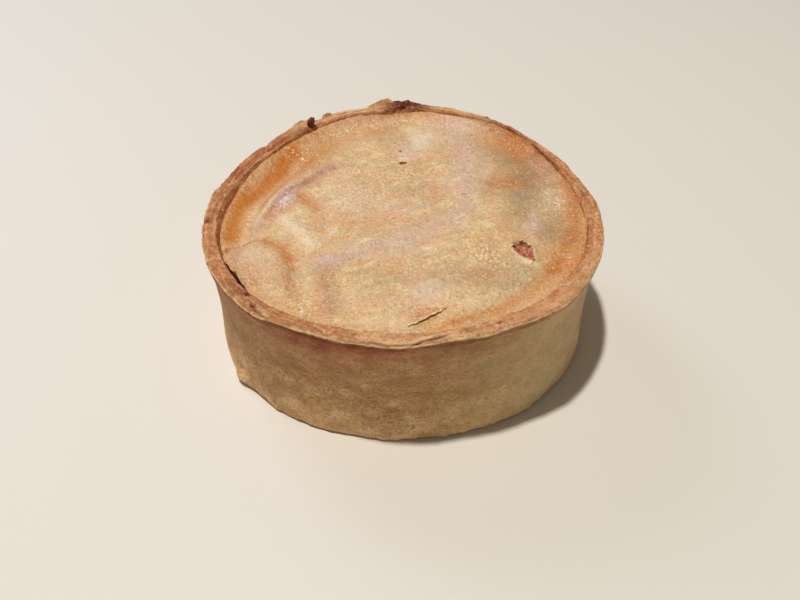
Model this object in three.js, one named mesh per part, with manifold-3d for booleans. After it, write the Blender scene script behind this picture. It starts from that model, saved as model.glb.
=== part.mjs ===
// A Scotch pie: a straight-sided pastry case, its meat filling, and a lid laid in just below the rim.
// Millimetres, +Z up. The pie stands on z = 0 with the middle of its outline on the Z axis.
// Plan angles are degrees anticlockwise from +X, seen from above, so the front of the pie is at 270.
// A plan radius is measured as on a round pie. The three-lobed outline then scales it.

import * as THREE from "three";
import { mergeVertices } from "three/addons/utils/BufferGeometryUtils.js";
import Module from "manifold-3d";

// The case: foot, slightly waisted wall and overhanging rim
const RIM_RADIUS = 46;
const HEIGHT = 31.3;
const LOBE = 0.9;
const FOOT_RADIUS = 44.5;
const FOOT_ROUND = 1.2;
const FOOT_RAGGED = { by: 0.12, waves: 11, finerWaves: 19, shift: 0.7, height: 4 };
const WAIST = { radius: 44.1, height: 12 };
const SHOULDER = { radius: 44.5, height: 23 };
const LIP_START = { radius: 45, height: HEIGHT - 4 };
const LIP = { radius: RIM_RADIUS, height: HEIGHT - 0.6 };
const RIM_CREST = { radius: RIM_RADIUS - 0.7, height: HEIGHT };
const RIM_RAGGED = { by: 0.1, waves: 17, finerWaves: 29, shift: 1.3 };
const FLOOR_HEIGHT = 4;
const FLOOR_FILLET = 3;

// The inside of the case leans inward below the rim, which is wide in front and thin at the back right
const MOUTH = { radius: 42.6, height: HEIGHT - 0.4 };
const SEAT = { radius: 41.5, height: HEIGHT - 4 };
const INNER_FOOT = { radius: 40.6, height: FLOOR_HEIGHT + FLOOR_FILLET };
const RIM_WIDER = { angle: 285, spread: 50, by: 1.2 };
const RIM_THINNER = { angle: 50, spread: 22, by: 2 };

// What the oven left on the case: a higher back, a burnt lump, a raised flake and a nub of dough
const BACK_HIGHER = { angle: 78, spread: 50, rise: 1.3 };
const BURNT_LUMP = { angle: 91, spread: 6, rise: 1.2 };
const RIM_FLAKE = { angle: 127, spread: 5, rise: 0.8 };
const FOOT_NUB = { angle: 215, spread: 3.6, height: 2, tall: 1.6, out: 1.3 };

// The lid, by its depth below the rim: a plateau, a gutter round it and an edge against the case
const LID_THICKNESS = 2.6;
const PLATEAU_DEPTH = 0.6;
const EDGE_DEPTH = 0.75;
const EDGE_SUNK = { angle: 183, spread: 35, by: 1.35 };
const EDGE_RAISED = { angle: 80, spread: 48, by: 1.5 };
const GUTTER_DEPTH = 1.5;
const GUTTER_SUNK_LEFT = { angle: 163, spread: 38, by: 2.3 };
const GUTTER_SUNK_RIGHT = { angle: 0, spread: 35, by: 0.5 };
const GUTTER_RAISED = { angle: 85, spread: 45, by: 0.6 };
const GUTTER_RADIUS = 38;
const GUTTER_INWARD = { angle: 153, spread: 32, by: 2.8 };
const BANK_WIDTH = 7;
const BANK_STEEPER = { angle: 160, spread: 45, by: 1.6 };
const EDGE_CURL = 1.5;
const SLIT = { angle: 212, spread: 8, by: 0.7 };

// Swellings and dips of the lid, in millimetres from the middle of the outline
const BLISTER = { x: -30.5, y: -18.9, along: 11, across: 8, turn: -55, depth: -0.2, crown: 0.45 };
const SHEEN_BUMP = { x: -28, y: 6.7, reach: 5, rise: 0.6 };
const BACK_BUMP = { x: 8, y: 27, reach: 7, rise: 0.4 };
const RIGHT_DIP = { x: 30, y: -1, reach: 6.5, rise: -0.9 };
const FRONT_SAG = { x: -8, y: -26, reach: 8, rise: -0.35 };
const FOLD_START = { x: -18, y: -18.3 };
const FOLD_END = { x: 13.7, y: 2.7 };
const FOLD = { width: 3, rise: 0.35 };
const SWELL = { length: 21, rise: 0.2 };

// Openings through the lid, and the flake that has lifted from it
const TEAR = { x: 27, y: -14.8, along: 3.4, across: 2, turn: -72, ragged: 0.15, sides: 20 };
const VENT = { x: 0.2, y: 19.9, along: 1, across: 0.7, turn: 0, ragged: 0.1, sides: 10 };
const OPENING_RIPPLE = { waves: 3, shift: 1, finerWaves: 5, finerShare: 0.6 };
const OPENING_REACH = { below: 4 * LID_THICKNESS, above: LID_THICKNESS };
const MEAT_BELOW_LID = 1.2;
const MEAT_ROOT = 2 * LID_THICKNESS;
const FLAKE_ROOT = { x: 1, y: -38.4 };
const FLAKE_TIP = { x: 9.1, y: -33.1 };
const FLAKE_BACK = { x: 0.5, y: -35.4 };
const FLAKE = { thickness: 0.7, lift: 0.6, proud: 0.15, steps: 8 };

// Clearance between touching pieces, and how finely they are faceted
const GAP = 0.3;
const FILLING_GAP = 0.55;
const SEGMENTS = 96;
const FILLING_SEGMENTS = 48;
const TOP_RINGS = 22;
const UNDER_RINGS = 6;
const RING_CROWDING = 1.35;
const CURVE_STEPS = 3;
const MERGE_DISTANCE = 1e-4;

// Baked crust, glazed crust and cooked mince
const CASE_FINISH = { color: 0xb08a5c, roughness: 0.75, metalness: 0 };
const LID_FINISH = { color: 0xd1af85, roughness: 0.5, metalness: 0 };
const MEAT_FINISH = { color: 0x9c5f43, roughness: 0.6, metalness: 0 };

const wasm = await Module();
wasm.setup();

// A smooth swell round the pie: 1 at the centre angle, fading to 0 over the spread
function arch(angle, { angle: centre, spread }) {
  const apart = ((angle - centre + 540) % 360) - 180;
  return Math.exp(-((apart / spread) ** 2));
}

// A smooth swell on the lid: 1 at its middle, fading to 0 over its reach
function spot(x, y, { x: centreX, y: centreY, reach }) {
  return Math.exp(-((x - centreX) ** 2 + (y - centreY) ** 2) / reach ** 2);
}

function planAngle(x, y) {
  return (THREE.MathUtils.radToDeg(Math.atan2(y, x)) + 360) % 360;
}

// The outline bulges at the back, the front left and the front right
function planScale(angle) {
  return 1 - (LOBE / RIM_RADIUS) * Math.sin(THREE.MathUtils.degToRad(3 * angle));
}

// Unevenness of a torn edge: two waves round the pie that don't keep step
function ragged(angle, { by, waves, finerWaves, shift }) {
  const turn = THREE.MathUtils.degToRad(angle);
  return by * (Math.sin(waves * turn) + Math.sin(finerWaves * turn + shift));
}

// Height that the baked rim gains or loses round the pie
function rimRise(angle) {
  let rise = ragged(angle, RIM_RAGGED);
  for (const feature of [BACK_HIGHER, BURNT_LUMP, RIM_FLAKE]) {
    rise += feature.rise * arch(angle, feature);
  }
  return rise;
}

// The inside of the case is drawn in where the rim is wide
function insideScale(angle) {
  const wider = RIM_WIDER.by * arch(angle, RIM_WIDER) - RIM_THINNER.by * arch(angle, RIM_THINNER);
  return 1 - wider / MOUTH.radius;
}

// Radius of the inside of the case at a height
function innerRadius(z, angle) {
  const mouthHeight = MOUTH.height + rimRise(angle);
  const upper = THREE.MathUtils.mapLinear(z, SEAT.height, mouthHeight, SEAT.radius, MOUTH.radius);
  const lean = (SEAT.radius - INNER_FOOT.radius) / (SEAT.height - INNER_FOOT.height);
  const lower = SEAT.radius - lean * (SEAT.height - z);
  return (z > SEAT.height ? upper : lower) * insideScale(angle);
}

// How far the foot stands out, with its ragged edge and the nub
function footFlare(z, angle) {
  const fromNub = (z - FOOT_NUB.height) / FOOT_NUB.tall;
  const nub = FOOT_NUB.out * arch(angle, FOOT_NUB) * Math.exp(-(fromNub ** 2));
  const atFoot = 1 - THREE.MathUtils.smoothstep(z, 0, FOOT_RAGGED.height);
  return ragged(angle, FOOT_RAGGED) * atFoot + nub;
}

// Depth of the plain lid below the rim: plateau, bank, gutter, then the rise to the edge
function lidDepth(radius, angle) {
  const raisedEdge = EDGE_RAISED.by * arch(angle, EDGE_RAISED);
  const edgeDepth = EDGE_DEPTH + EDGE_SUNK.by * arch(angle, EDGE_SUNK) - raisedEdge;
  const gutterDepth =
    GUTTER_DEPTH +
    GUTTER_SUNK_LEFT.by * arch(angle, GUTTER_SUNK_LEFT) +
    GUTTER_SUNK_RIGHT.by * arch(angle, GUTTER_SUNK_RIGHT) -
    GUTTER_RAISED.by * arch(angle, GUTTER_RAISED);
  const gutterRadius = GUTTER_RADIUS - GUTTER_INWARD.by * arch(angle, GUTTER_INWARD);
  const bankWidth = BANK_WIDTH - BANK_STEEPER.by * arch(angle, BANK_STEEPER);
  if (radius <= gutterRadius) {
    const down = THREE.MathUtils.smoothstep(radius, gutterRadius - bankWidth, gutterRadius);
    return THREE.MathUtils.lerp(PLATEAU_DEPTH, gutterDepth, down);
  }
  const across = (radius - gutterRadius) / (MOUTH.radius - gutterRadius);
  return THREE.MathUtils.lerp(gutterDepth, edgeDepth, Math.min(across, 1) ** EDGE_CURL);
}

// Distance from a point to the line of the fold that crosses the lid
function foldDistance(x, y) {
  const line = new THREE.Line3(
    new THREE.Vector3(FOLD_START.x, FOLD_START.y, 0),
    new THREE.Vector3(FOLD_END.x, FOLD_END.y, 0),
  );
  const point = new THREE.Vector3(x, y, 0);
  return line.closestPointToPoint(point, true, new THREE.Vector3()).distanceTo(point);
}

// Share of the blister at a point: 1 on its crown, 0 outside it
function blisterShare(x, y) {
  const local = new THREE.Vector2(x - BLISTER.x, y - BLISTER.y);
  local.rotateAround(new THREE.Vector2(), -THREE.MathUtils.degToRad(BLISTER.turn));
  const out = Math.hypot(local.x / BLISTER.along, local.y / BLISTER.across);
  return 1 - THREE.MathUtils.smoothstep(out, BLISTER.crown, 1);
}

// Height of the lid's upper face
function lidTop(x, y) {
  const angle = planAngle(x, y);
  const radius = Math.hypot(x, y) / planScale(angle);
  let depth = lidDepth(radius, angle);
  for (const feature of [SHEEN_BUMP, BACK_BUMP, RIGHT_DIP, FRONT_SAG]) {
    depth -= feature.rise * spot(x, y, feature);
  }
  depth -= FOLD.rise * Math.exp(-((foldDistance(x, y) / FOLD.width) ** 2));
  const wave = (2 * Math.PI) / SWELL.length;
  depth -= SWELL.rise * Math.sin(wave * x) * Math.cos(wave * y);
  return HEIGHT - THREE.MathUtils.lerp(depth, BLISTER.depth, blisterShare(x, y));
}

// Height of the lid's lower face, which follows the plain lid
function lidUnder(x, y) {
  const angle = planAngle(x, y);
  const radius = Math.hypot(x, y) / planScale(angle);
  return HEIGHT - LID_THICKNESS - lidDepth(radius, angle);
}

// A section spun about Z, each point of it moved by place(radius, height, angle, index) to [radius, height]
function spin(section, segments, place) {
  const geometry = new THREE.LatheGeometry(section, segments).rotateX(Math.PI / 2);
  const position = geometry.attributes.position;
  const point = new THREE.Vector3();
  for (let i = 0; i < position.count; i += 1) {
    point.fromBufferAttribute(position, i);
    const angle = planAngle(point.x, point.y);
    const turn = THREE.MathUtils.degToRad(angle);
    const [radius, height] = place(Math.hypot(point.x, point.y), point.z, angle, i % section.length);
    position.setXYZ(i, radius * Math.cos(turn), radius * Math.sin(turn), height);
  }
  return geometry;
}

// A closed geometry as a solid that can be joined and cut
function toSolid(geometry) {
  geometry.deleteAttribute("normal");
  geometry.deleteAttribute("uv");
  const merged = mergeVertices(geometry, MERGE_DISTANCE);
  const corners = merged.index.array;
  const triangles = [];
  for (let i = 0; i < corners.length; i += 3) {
    const [a, b, c] = corners.slice(i, i + 3);
    if (a !== b && b !== c && c !== a) {
      triangles.push(a, b, c);
    }
  }
  const mesh = new wasm.Mesh({
    numProp: 3,
    vertProperties: merged.attributes.position.array,
    triVerts: Uint32Array.from(triangles),
  });
  return new wasm.Manifold(mesh);
}

// A named mesh from a solid, in its own material
function toMesh(name, solid, finish) {
  const { vertProperties, triVerts } = solid.getMesh();
  const geometry = new THREE.BufferGeometry();
  geometry.setAttribute("position", new THREE.BufferAttribute(vertProperties, 3));
  geometry.setIndex(new THREE.BufferAttribute(triVerts, 1));
  geometry.computeVertexNormals();
  const mesh = new THREE.Mesh(geometry, new THREE.MeshStandardMaterial(finish));
  mesh.name = name;
  return mesh;
}

// A flat outline given a thickness
function slab(outline, depth) {
  return new THREE.ExtrudeGeometry(new THREE.Shape(outline), { depth, bevelEnabled: false });
}

// An upright plug with the uneven oval outline of an opening, drawn in all round by inset
function ovalPlug(opening, inset, bottom, top) {
  const { waves, shift, finerWaves, finerShare } = OPENING_RIPPLE;
  const outline = [];
  for (let i = 0; i < opening.sides; i += 1) {
    const turn = (2 * Math.PI * i) / opening.sides;
    const wave = Math.sin(waves * turn + shift) + finerShare * Math.sin(finerWaves * turn);
    const ripple = 1 + opening.ragged * wave;
    const along = (opening.along - inset) * ripple * Math.cos(turn);
    const across = (opening.across - inset) * ripple * Math.sin(turn);
    outline.push(new THREE.Vector2(along, across));
  }
  const plug = slab(outline, top - bottom);
  plug.rotateZ(THREE.MathUtils.degToRad(opening.turn));
  return toSolid(plug.translate(opening.x, opening.y, bottom));
}

// The thin flake: its back is sunk in the lid, and its front edge bows up between its two ends
function lidFlake() {
  const root = new THREE.Vector2(FLAKE_ROOT.x, FLAKE_ROOT.y);
  const tip = new THREE.Vector2(FLAKE_TIP.x, FLAKE_TIP.y);
  const back = new THREE.Vector2(FLAKE_BACK.x, FLAKE_BACK.y);
  const outline = [back];
  for (let i = 0; i <= FLAKE.steps; i += 1) {
    outline.push(root.clone().lerp(tip, i / FLAKE.steps));
  }
  const flake = slab(outline, FLAKE.thickness);
  const position = flake.attributes.position;
  const edge = tip.clone().sub(root);
  for (let i = 0; i < position.count; i += 1) {
    const point = new THREE.Vector2(position.getX(i), position.getY(i));
    const along = point.clone().sub(root).dot(edge) / edge.lengthSq();
    const onEdge = point.distanceTo(back) > 0 ? Math.max(0, Math.sin(Math.PI * along)) : 0;
    const surface = lidTop(point.x, point.y) + FLAKE.proud - FLAKE.thickness;
    position.setZ(i, position.getZ(i) + surface + FLAKE.lift * onEdge);
  }
  return toSolid(flake);
}

// The case: a cup with a flat base, a waisted wall and a rounded, ragged rim
function pastryCase() {
  const outside = new THREE.Path();
  outside.moveTo(0, 0);
  outside.lineTo(FOOT_RADIUS - FOOT_ROUND, 0);
  outside.quadraticCurveTo(FOOT_RADIUS, 0, FOOT_RADIUS, FOOT_ROUND);
  const wall = [WAIST, SHOULDER, LIP_START, LIP];
  outside.splineThru(wall.map(({ radius, height }) => new THREE.Vector2(radius, height)));
  outside.quadraticCurveTo(RIM_RADIUS, HEIGHT, RIM_CREST.radius, RIM_CREST.height);
  const inside = new THREE.Path();
  inside.moveTo(MOUTH.radius, MOUTH.height);
  inside.lineTo(SEAT.radius, SEAT.height);
  inside.lineTo(INNER_FOOT.radius, INNER_FOOT.height);
  inside.quadraticCurveTo(INNER_FOOT.radius, FLOOR_HEIGHT, INNER_FOOT.radius - FLOOR_FILLET, FLOOR_HEIGHT);
  inside.lineTo(0, FLOOR_HEIGHT);
  const outerPoints = outside.getPoints(CURVE_STEPS);
  const section = [...outerPoints, ...inside.getPoints(CURVE_STEPS)];
  const cup = spin(section, SEGMENTS, (radius, z, angle, index) => {
    const lifted = z + rimRise(angle) * THREE.MathUtils.smoothstep(z, SEAT.height, MOUTH.height);
    if (index >= outerPoints.length) {
      return [radius * insideScale(angle) * planScale(angle), lifted];
    }
    const flare = footFlare(z, angle) * (radius / FOOT_RADIUS);
    return [(radius + flare) * planScale(angle), lifted];
  });
  return toSolid(cup);
}

// Section of a disc, as shares of its radius, with height 0 on the lower face and 1 on the upper one
function discSection(underRings, topRings) {
  const radiusAt = (ring, rings) => 1 - (1 - ring / rings) ** RING_CROWDING;
  const section = [];
  for (let ring = 0; ring <= underRings; ring += 1) {
    section.push(new THREE.Vector2(radiusAt(ring, underRings), 0));
  }
  for (let ring = topRings; ring >= 0; ring -= 1) {
    section.push(new THREE.Vector2(radiusAt(ring, topRings), 1));
  }
  return section;
}

// The filling: it takes up all the room between the case and the lid, and shows in the tear
function meatFilling() {
  const plug = spin(discSection(UNDER_RINGS, UNDER_RINGS), FILLING_SEGMENTS, (share, level, angle) => {
    const turn = THREE.MathUtils.degToRad(angle);
    if (level < 0.5) {
      const base = innerRadius(FLOOR_HEIGHT, angle) - FILLING_GAP - FLOOR_FILLET;
      return [share * base * planScale(angle), FLOOR_HEIGHT + GAP];
    }
    const reach = share * SEAT.radius * planScale(angle);
    const ceiling = lidUnder(reach * Math.cos(turn), reach * Math.sin(turn)) - FILLING_GAP;
    const wall = innerRadius(ceiling, angle) - FILLING_GAP;
    return [share * wall * planScale(angle), ceiling];
  });
  const surface = lidTop(TEAR.x, TEAR.y);
  const meat = ovalPlug(TEAR, GAP, surface - MEAT_ROOT, surface - MEAT_BELOW_LID);
  return toSolid(plug).add(meat);
}

// The lid: a disc that follows the inside of the case, cut by the tear and the vent, with its flake
function pastryLid() {
  const disc = spin(discSection(UNDER_RINGS, TOP_RINGS), SEGMENTS, (share, level, angle) => {
    const turn = THREE.MathUtils.degToRad(angle);
    const edgeHeight = HEIGHT - lidDepth(MOUTH.radius, angle) - (1 - level) * LID_THICKNESS;
    const edge = innerRadius(edgeHeight, angle) - GAP - SLIT.by * arch(angle, SLIT);
    const radius = share * edge * planScale(angle);
    const x = radius * Math.cos(turn);
    const y = radius * Math.sin(turn);
    return [radius, level < 0.5 ? lidUnder(x, y) : lidTop(x, y)];
  });
  const below = HEIGHT - OPENING_REACH.below;
  const above = HEIGHT + OPENING_REACH.above;
  return toSolid(disc)
    .add(lidFlake())
    .subtract(ovalPlug(TEAR, 0, below, above))
    .subtract(ovalPlug(VENT, 0, below, above));
}

// The front and back lobes differ, so the outline is moved back to stand about the Z axis
const scotchPie = new THREE.Group();
scotchPie.add(toMesh("pastry_case", pastryCase(), CASE_FINISH));
scotchPie.add(toMesh("meat_filling", meatFilling(), MEAT_FINISH));
scotchPie.add(toMesh("pastry_lid", pastryLid(), LID_FINISH));
scotchPie.position.y = -LOBE;

export default scotchPie;
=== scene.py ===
"""A Scotch pie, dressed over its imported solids.

The case, the lid and the mince are modelled again in fine mesh, from the sizes that their solids have.
Sizes are millimetres in the plan frame: +Z up, the foot on z = 0, and plan angles in degrees anticlockwise
from +X, so that the front of the pie is at 270. The last step of each piece takes it to metres in the row
frame.
"""

import logging
import math
from collections.abc import Sequence
from dataclasses import dataclass, field
from enum import Enum

import bmesh
import bpy
from mathutils import Euler, Matrix, Vector, noise


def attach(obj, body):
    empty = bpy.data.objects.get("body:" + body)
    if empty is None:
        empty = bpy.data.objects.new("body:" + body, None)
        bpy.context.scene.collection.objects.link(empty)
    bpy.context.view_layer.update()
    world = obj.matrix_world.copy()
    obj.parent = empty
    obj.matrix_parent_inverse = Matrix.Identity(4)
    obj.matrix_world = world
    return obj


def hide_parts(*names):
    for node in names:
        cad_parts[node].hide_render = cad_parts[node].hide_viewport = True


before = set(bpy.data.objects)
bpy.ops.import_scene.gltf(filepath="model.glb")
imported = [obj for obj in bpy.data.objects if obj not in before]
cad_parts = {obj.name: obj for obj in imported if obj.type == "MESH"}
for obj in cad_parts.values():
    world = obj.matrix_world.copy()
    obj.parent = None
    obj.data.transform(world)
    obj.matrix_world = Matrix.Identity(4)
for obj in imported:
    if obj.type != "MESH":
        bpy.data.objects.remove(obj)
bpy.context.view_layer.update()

MM = 0.001
BODY = "root"
ACROSS = "across"
MERGE_SHARE = 1e-6
SPIN_STEPS = 30
GOLDEN_ANGLE = math.pi * (3.0 - math.sqrt(5.0))
SHARP_ANGLE = math.radians(60.0)
LOG = logging.getLogger("scotch_pie")

# Shares below this are left out, as they would not show
TRACE = 0.01

# Where a tread of the flaky crust starts to rise, and where its broken edge lies
TREAD_RISE = 0.8
TREAD_EDGE = 0.93
TREAD_EDGE_REACH = 0.1

# Sockets of the Mix node for the two colours
MIX_UNDER = 6
MIX_OVER = 7

# Sizes of the lumps of a rough surface, each with its height
Layers = tuple[tuple[float, float], ...]


class Slot(Enum):
    """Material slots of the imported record."""

    CASE = "case_pastry"
    LID = "lid_pastry"
    MEAT = "meat"


class Zone(Enum):
    """Vertex attributes, each from 0 to 1, that say what the oven did at each place of the crust, and where
    shade, highlights, a sheen and glints are painted into its colour.
    """

    # Bake also carries painted shade: at the seam, in the lid's creases, hollows and low lumps, and on the
    # wall, which is painted darker upwards
    BAKE = "bake"
    GLAZE = "glaze"
    # Damp on the case's right wall is partly olive crust and partly painted light
    DAMP_AND_PAINTED_LIGHT = "damp"
    # Glint makes small glossy places in the roughness, and painted glints as pale specks in the colour
    GLOSS_AND_PAINTED_GLINT = "glint"
    # Blush also carries painted shade: the mauve crease on the lid and the shade under the lip
    BLUSH_AND_SHADE = "blush"
    # Sheen is a painted reflection of cool light on the lid
    PAINTED_SHEEN = "sheen"
    # Pale is pale crumb, and painted highlights on ridges, lips, edges and the blister
    PALE_AND_HIGHLIGHT = "pale"
    # Char is charring, and painted shade in cracks, pits and the tear, with a painted shadow under the lip
    CHAR_AND_SHADE = "char"


def smoothstep(value: float, low: float, high: float) -> float:
    """Smooth share from 0 at low to 1 at high.

    Args:
        value: where to read it.
        low: last value with a share of 0.
        high: first value with a share of 1, which may be the smaller of the two.

    Returns:
        The share, from 0 to 1.
    """
    share = min(max((value - low) / (high - low), 0.0), 1.0)
    return share * share * (3.0 - 2.0 * share)


def mix(start: float, end: float, share: float) -> float:
    """Value that lies the given share of the way from start to end."""
    return start + (end - start) * share


def hill(distance: float, reach: float) -> float:
    """Smooth hill: 1 at no distance, fading to 0 over the reach."""
    return math.exp(-((distance / reach) ** 2))


def apart(angle: float, other: float) -> float:
    """Signed degrees from the other plan angle to this one, the short way round."""
    return (angle - other + 540.0) % 360.0 - 180.0


def plan_angle(x: float, y: float) -> float:
    """Plan angle of a point, from 0 to 360 degrees."""
    return math.degrees(math.atan2(y, x)) % 360.0


def around(radius: float, angle: float) -> tuple[float, float]:
    """Place in the plan at a radius and a plan angle."""
    turn = math.radians(angle)
    return radius * math.cos(turn), radius * math.sin(turn)


def grain(point: Vector, size: float, shift: float = 0.0) -> float:
    """Smooth noise of about -1 to 1, in lumps of the given size, with shift to draw another pattern."""
    return noise.noise(point / size + Vector((shift, -shift, shift)))


def crumble(point: Vector, layers: Layers) -> float:
    """Height of a rough surface at a place, from the size and height of each layer of lumps."""
    return sum(height * grain(point, size, size) for size, height in layers)


def terrace(value: float, treads: float) -> tuple[float, float]:
    """Breaks a smooth value into treads, as the layers of a flaky crust break.

    Args:
        value: the smooth value.
        treads: how many treads there are to 1.

    Returns:
        The stepped value, and 1 on the broken edge of a tread, fading to 0 off it.
    """
    level = value * treads
    tread = math.floor(level)
    share = level - tread
    stepped = (tread + smoothstep(share, TREAD_RISE, 1.0)) / treads
    return stepped, hill(share - TREAD_EDGE, TREAD_EDGE_REACH)


@dataclass(frozen=True)
class Fade:
    """A share that goes smoothly from 0 to 1 between two values."""

    low: float
    high: float

    def at(self, value: float) -> float:
        """Share at a value."""
        return smoothstep(value, self.low, self.high)


@dataclass(frozen=True)
class Uneven:
    """A value that varies from place to place, in lumps of one size, with shift to draw another pattern."""

    base: float
    by: float
    size: float
    shift: float = 0.0

    def at(self, point: Vector) -> float:
        """Value at a place."""
        return self.base + self.by * grain(point, self.size, self.shift)


@dataclass(frozen=True)
class Corner:
    """A corner of the half section of the case."""

    radius: float
    height: float


@dataclass(frozen=True)
class Swell:
    """A smooth gain round the pie, greatest at one plan angle."""

    angle: float
    spread: float
    by: float

    def at(self, angle: float) -> float:
        """Gain at a plan angle."""
        return self.by * hill(apart(angle, self.angle), self.spread)


def swollen(swells: Sequence[Swell], angle: float) -> float:
    """Sum of several swells at a plan angle."""
    return sum(swell.at(angle) for swell in swells)


@dataclass(frozen=True)
class Mound:
    """A round swelling of the lid, or a dip where the rise is negative."""

    x: float
    y: float
    reach: float
    rise: float

    def at(self, x: float, y: float) -> float:
        """Rise at a place on the lid."""
        return self.rise * hill(math.hypot(x - self.x, y - self.y), self.reach)


@dataclass(frozen=True)
class Oval:
    """An oval place on the lid, turned by an angle in degrees."""

    x: float
    y: float
    along: float
    across: float
    turn: float
    by: float = 1.0

    def local(self, x: float, y: float) -> tuple[float, float]:
        """Place in the oval's own axes, where its outline is 1 from its middle.

        Args:
            x: place on the lid.
            y: place on the lid.

        Returns:
            Shares of the half lengths along and across the oval.
        """
        turn = math.radians(self.turn)
        east, north = x - self.x, y - self.y
        along = east * math.cos(turn) + north * math.sin(turn)
        across = north * math.cos(turn) - east * math.sin(turn)
        return along / self.along, across / self.across

    def distance(self, x: float, y: float) -> float:
        """Distance from the middle, 1 on the outline."""
        return math.hypot(*self.local(x, y))

    def at(self, x: float, y: float) -> float:
        """Gain at a place: full in the middle, fading out past the outline."""
        return self.by * hill(self.distance(x, y), 1.0)


@dataclass(frozen=True)
class Streak:
    """A soft line through a few places, with its half width."""

    places: tuple[tuple[float, float], ...]
    width: float
    by: float = 1.0

    def distance(self, x: float, y: float) -> float:
        """Distance from a place to the line.

        Args:
            x: place on the lid.
            y: place on the lid.

        Returns:
            The distance to the nearest leg of the line.
        """
        point = Vector((x, y))
        nearest = math.inf
        for start, end in zip(self.places, self.places[1:]):
            leg = Vector(end) - Vector(start)
            off = point - Vector(start)
            share = min(max(off.dot(leg) / leg.length_squared, 0.0), 1.0)
            nearest = min(nearest, (off - leg * share).length)
        return nearest

    def at(self, x: float, y: float) -> float:
        """Gain at a place: full on the line, fading out past its half width."""
        return self.by * hill(self.distance(x, y), self.width)


@dataclass(frozen=True)
class Ragged:
    """Unevenness of a torn edge: two waves round the pie that do not keep step."""

    by: float
    waves: int
    finer_waves: int
    shift: float

    def at(self, angle: float) -> float:
        """Gain at a plan angle."""
        turn = math.radians(angle)
        return self.by * (math.sin(self.waves * turn) + math.sin(self.finer_waves * turn + self.shift))


@dataclass(frozen=True)
class CaseForm:
    """Plain form of the pastry case, as in its solid."""

    rim_radius: float = 46.0
    height: float = 31.3
    lobe: float = 0.9
    lobes: int = 3
    foot_radius: float = 44.5
    foot_round: float = 1.2
    foot_strip: float = 4.8
    foot_ragged: Ragged = Ragged(0.12, 11, 19, 0.7)
    foot_ragged_height: float = 4.0
    waist: Corner = Corner(44.1, 12.0)
    shoulder: Corner = Corner(44.5, 23.0)
    lip_start: Corner = Corner(45.0, 27.3)
    lip: Corner = Corner(46.0, 30.7)
    crest: Corner = Corner(45.3, 31.3)
    rim_ragged: Ragged = Ragged(0.1, 17, 29, 1.3)
    mouth: Corner = Corner(42.6, 30.9)
    seat: Corner = Corner(41.5, 27.3)
    inner_foot: Corner = Corner(40.6, 7.0)
    floor_height: float = 4.0
    floor_fillet: float = 3.0
    rim_wider: Swell = Swell(285.0, 50.0, 1.2)
    rim_thinner: Swell = Swell(50.0, 22.0, 2.0)
    back_higher: Swell = Swell(78.0, 50.0, 1.3)
    burnt_lump: Swell = Swell(91.0, 6.0, 1.2)
    rim_flake: Swell = Swell(127.0, 5.0, 0.8)
    foot_nub: Swell = Swell(215.0, 3.6, 1.3)
    nub_height: float = 2.0
    nub_tall: float = 1.6

    def plan_scale(self, angle: float) -> float:
        """Scale of the three-lobed outline at a plan angle."""
        return 1.0 - self.lobe / self.rim_radius * math.sin(math.radians(self.lobes * angle))

    def rim_rise(self, angle: float) -> float:
        """Height that the baked rim gains or loses at a plan angle."""
        return self.rim_ragged.at(angle) + swollen((self.back_higher, self.burnt_lump, self.rim_flake), angle)

    def inside_scale(self, angle: float) -> float:
        """Scale of the inside, which is drawn in where the rim is wide."""
        return 1.0 - (self.rim_wider.at(angle) - self.rim_thinner.at(angle)) / self.mouth.radius

    def inner_radius(self, z: float, angle: float) -> float:
        """Plan radius of the inside of the case.

        Args:
            z: height.
            angle: plan angle.

        Returns:
            Radius before the three-lobed outline scales it.
        """
        if z > self.seat.height:
            share = (z - self.seat.height) / (self.mouth.height + self.rim_rise(angle) - self.seat.height)
            plain = mix(self.seat.radius, self.mouth.radius, share)
        else:
            share = (self.seat.height - z) / (self.seat.height - self.inner_foot.height)
            plain = mix(self.seat.radius, self.inner_foot.radius, share)
        return plain * self.inside_scale(angle)

    def foot_flare(self, z: float, angle: float) -> float:
        """How far the foot stands out, with its ragged edge and the nub of dough.

        Args:
            z: height.
            angle: plan angle.

        Returns:
            Gain in radius.
        """
        at_foot = 1.0 - smoothstep(z, 0.0, self.foot_ragged_height)
        nub = self.foot_nub.at(angle) * hill(z - self.nub_height, self.nub_tall)
        return self.foot_ragged.at(angle) * at_foot + nub


@dataclass(frozen=True)
class Band:
    """A gain on the outer part of the lid, over a stretch of plan angles."""

    angle: float
    spread: float
    start: float
    full: float
    by: float
    outline: CaseForm = CaseForm()

    def at(self, x: float, y: float) -> float:
        """Gain at a place on the lid.

        Args:
            x: place on the lid.
            y: place on the lid.

        Returns:
            The gain, which is full outside the band.
        """
        angle = plan_angle(x, y)
        radius = math.hypot(x, y) / self.outline.plan_scale(angle)
        gain = self.by * hill(apart(angle, self.angle), self.spread)
        return gain * smoothstep(radius, self.start, self.full)


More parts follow.
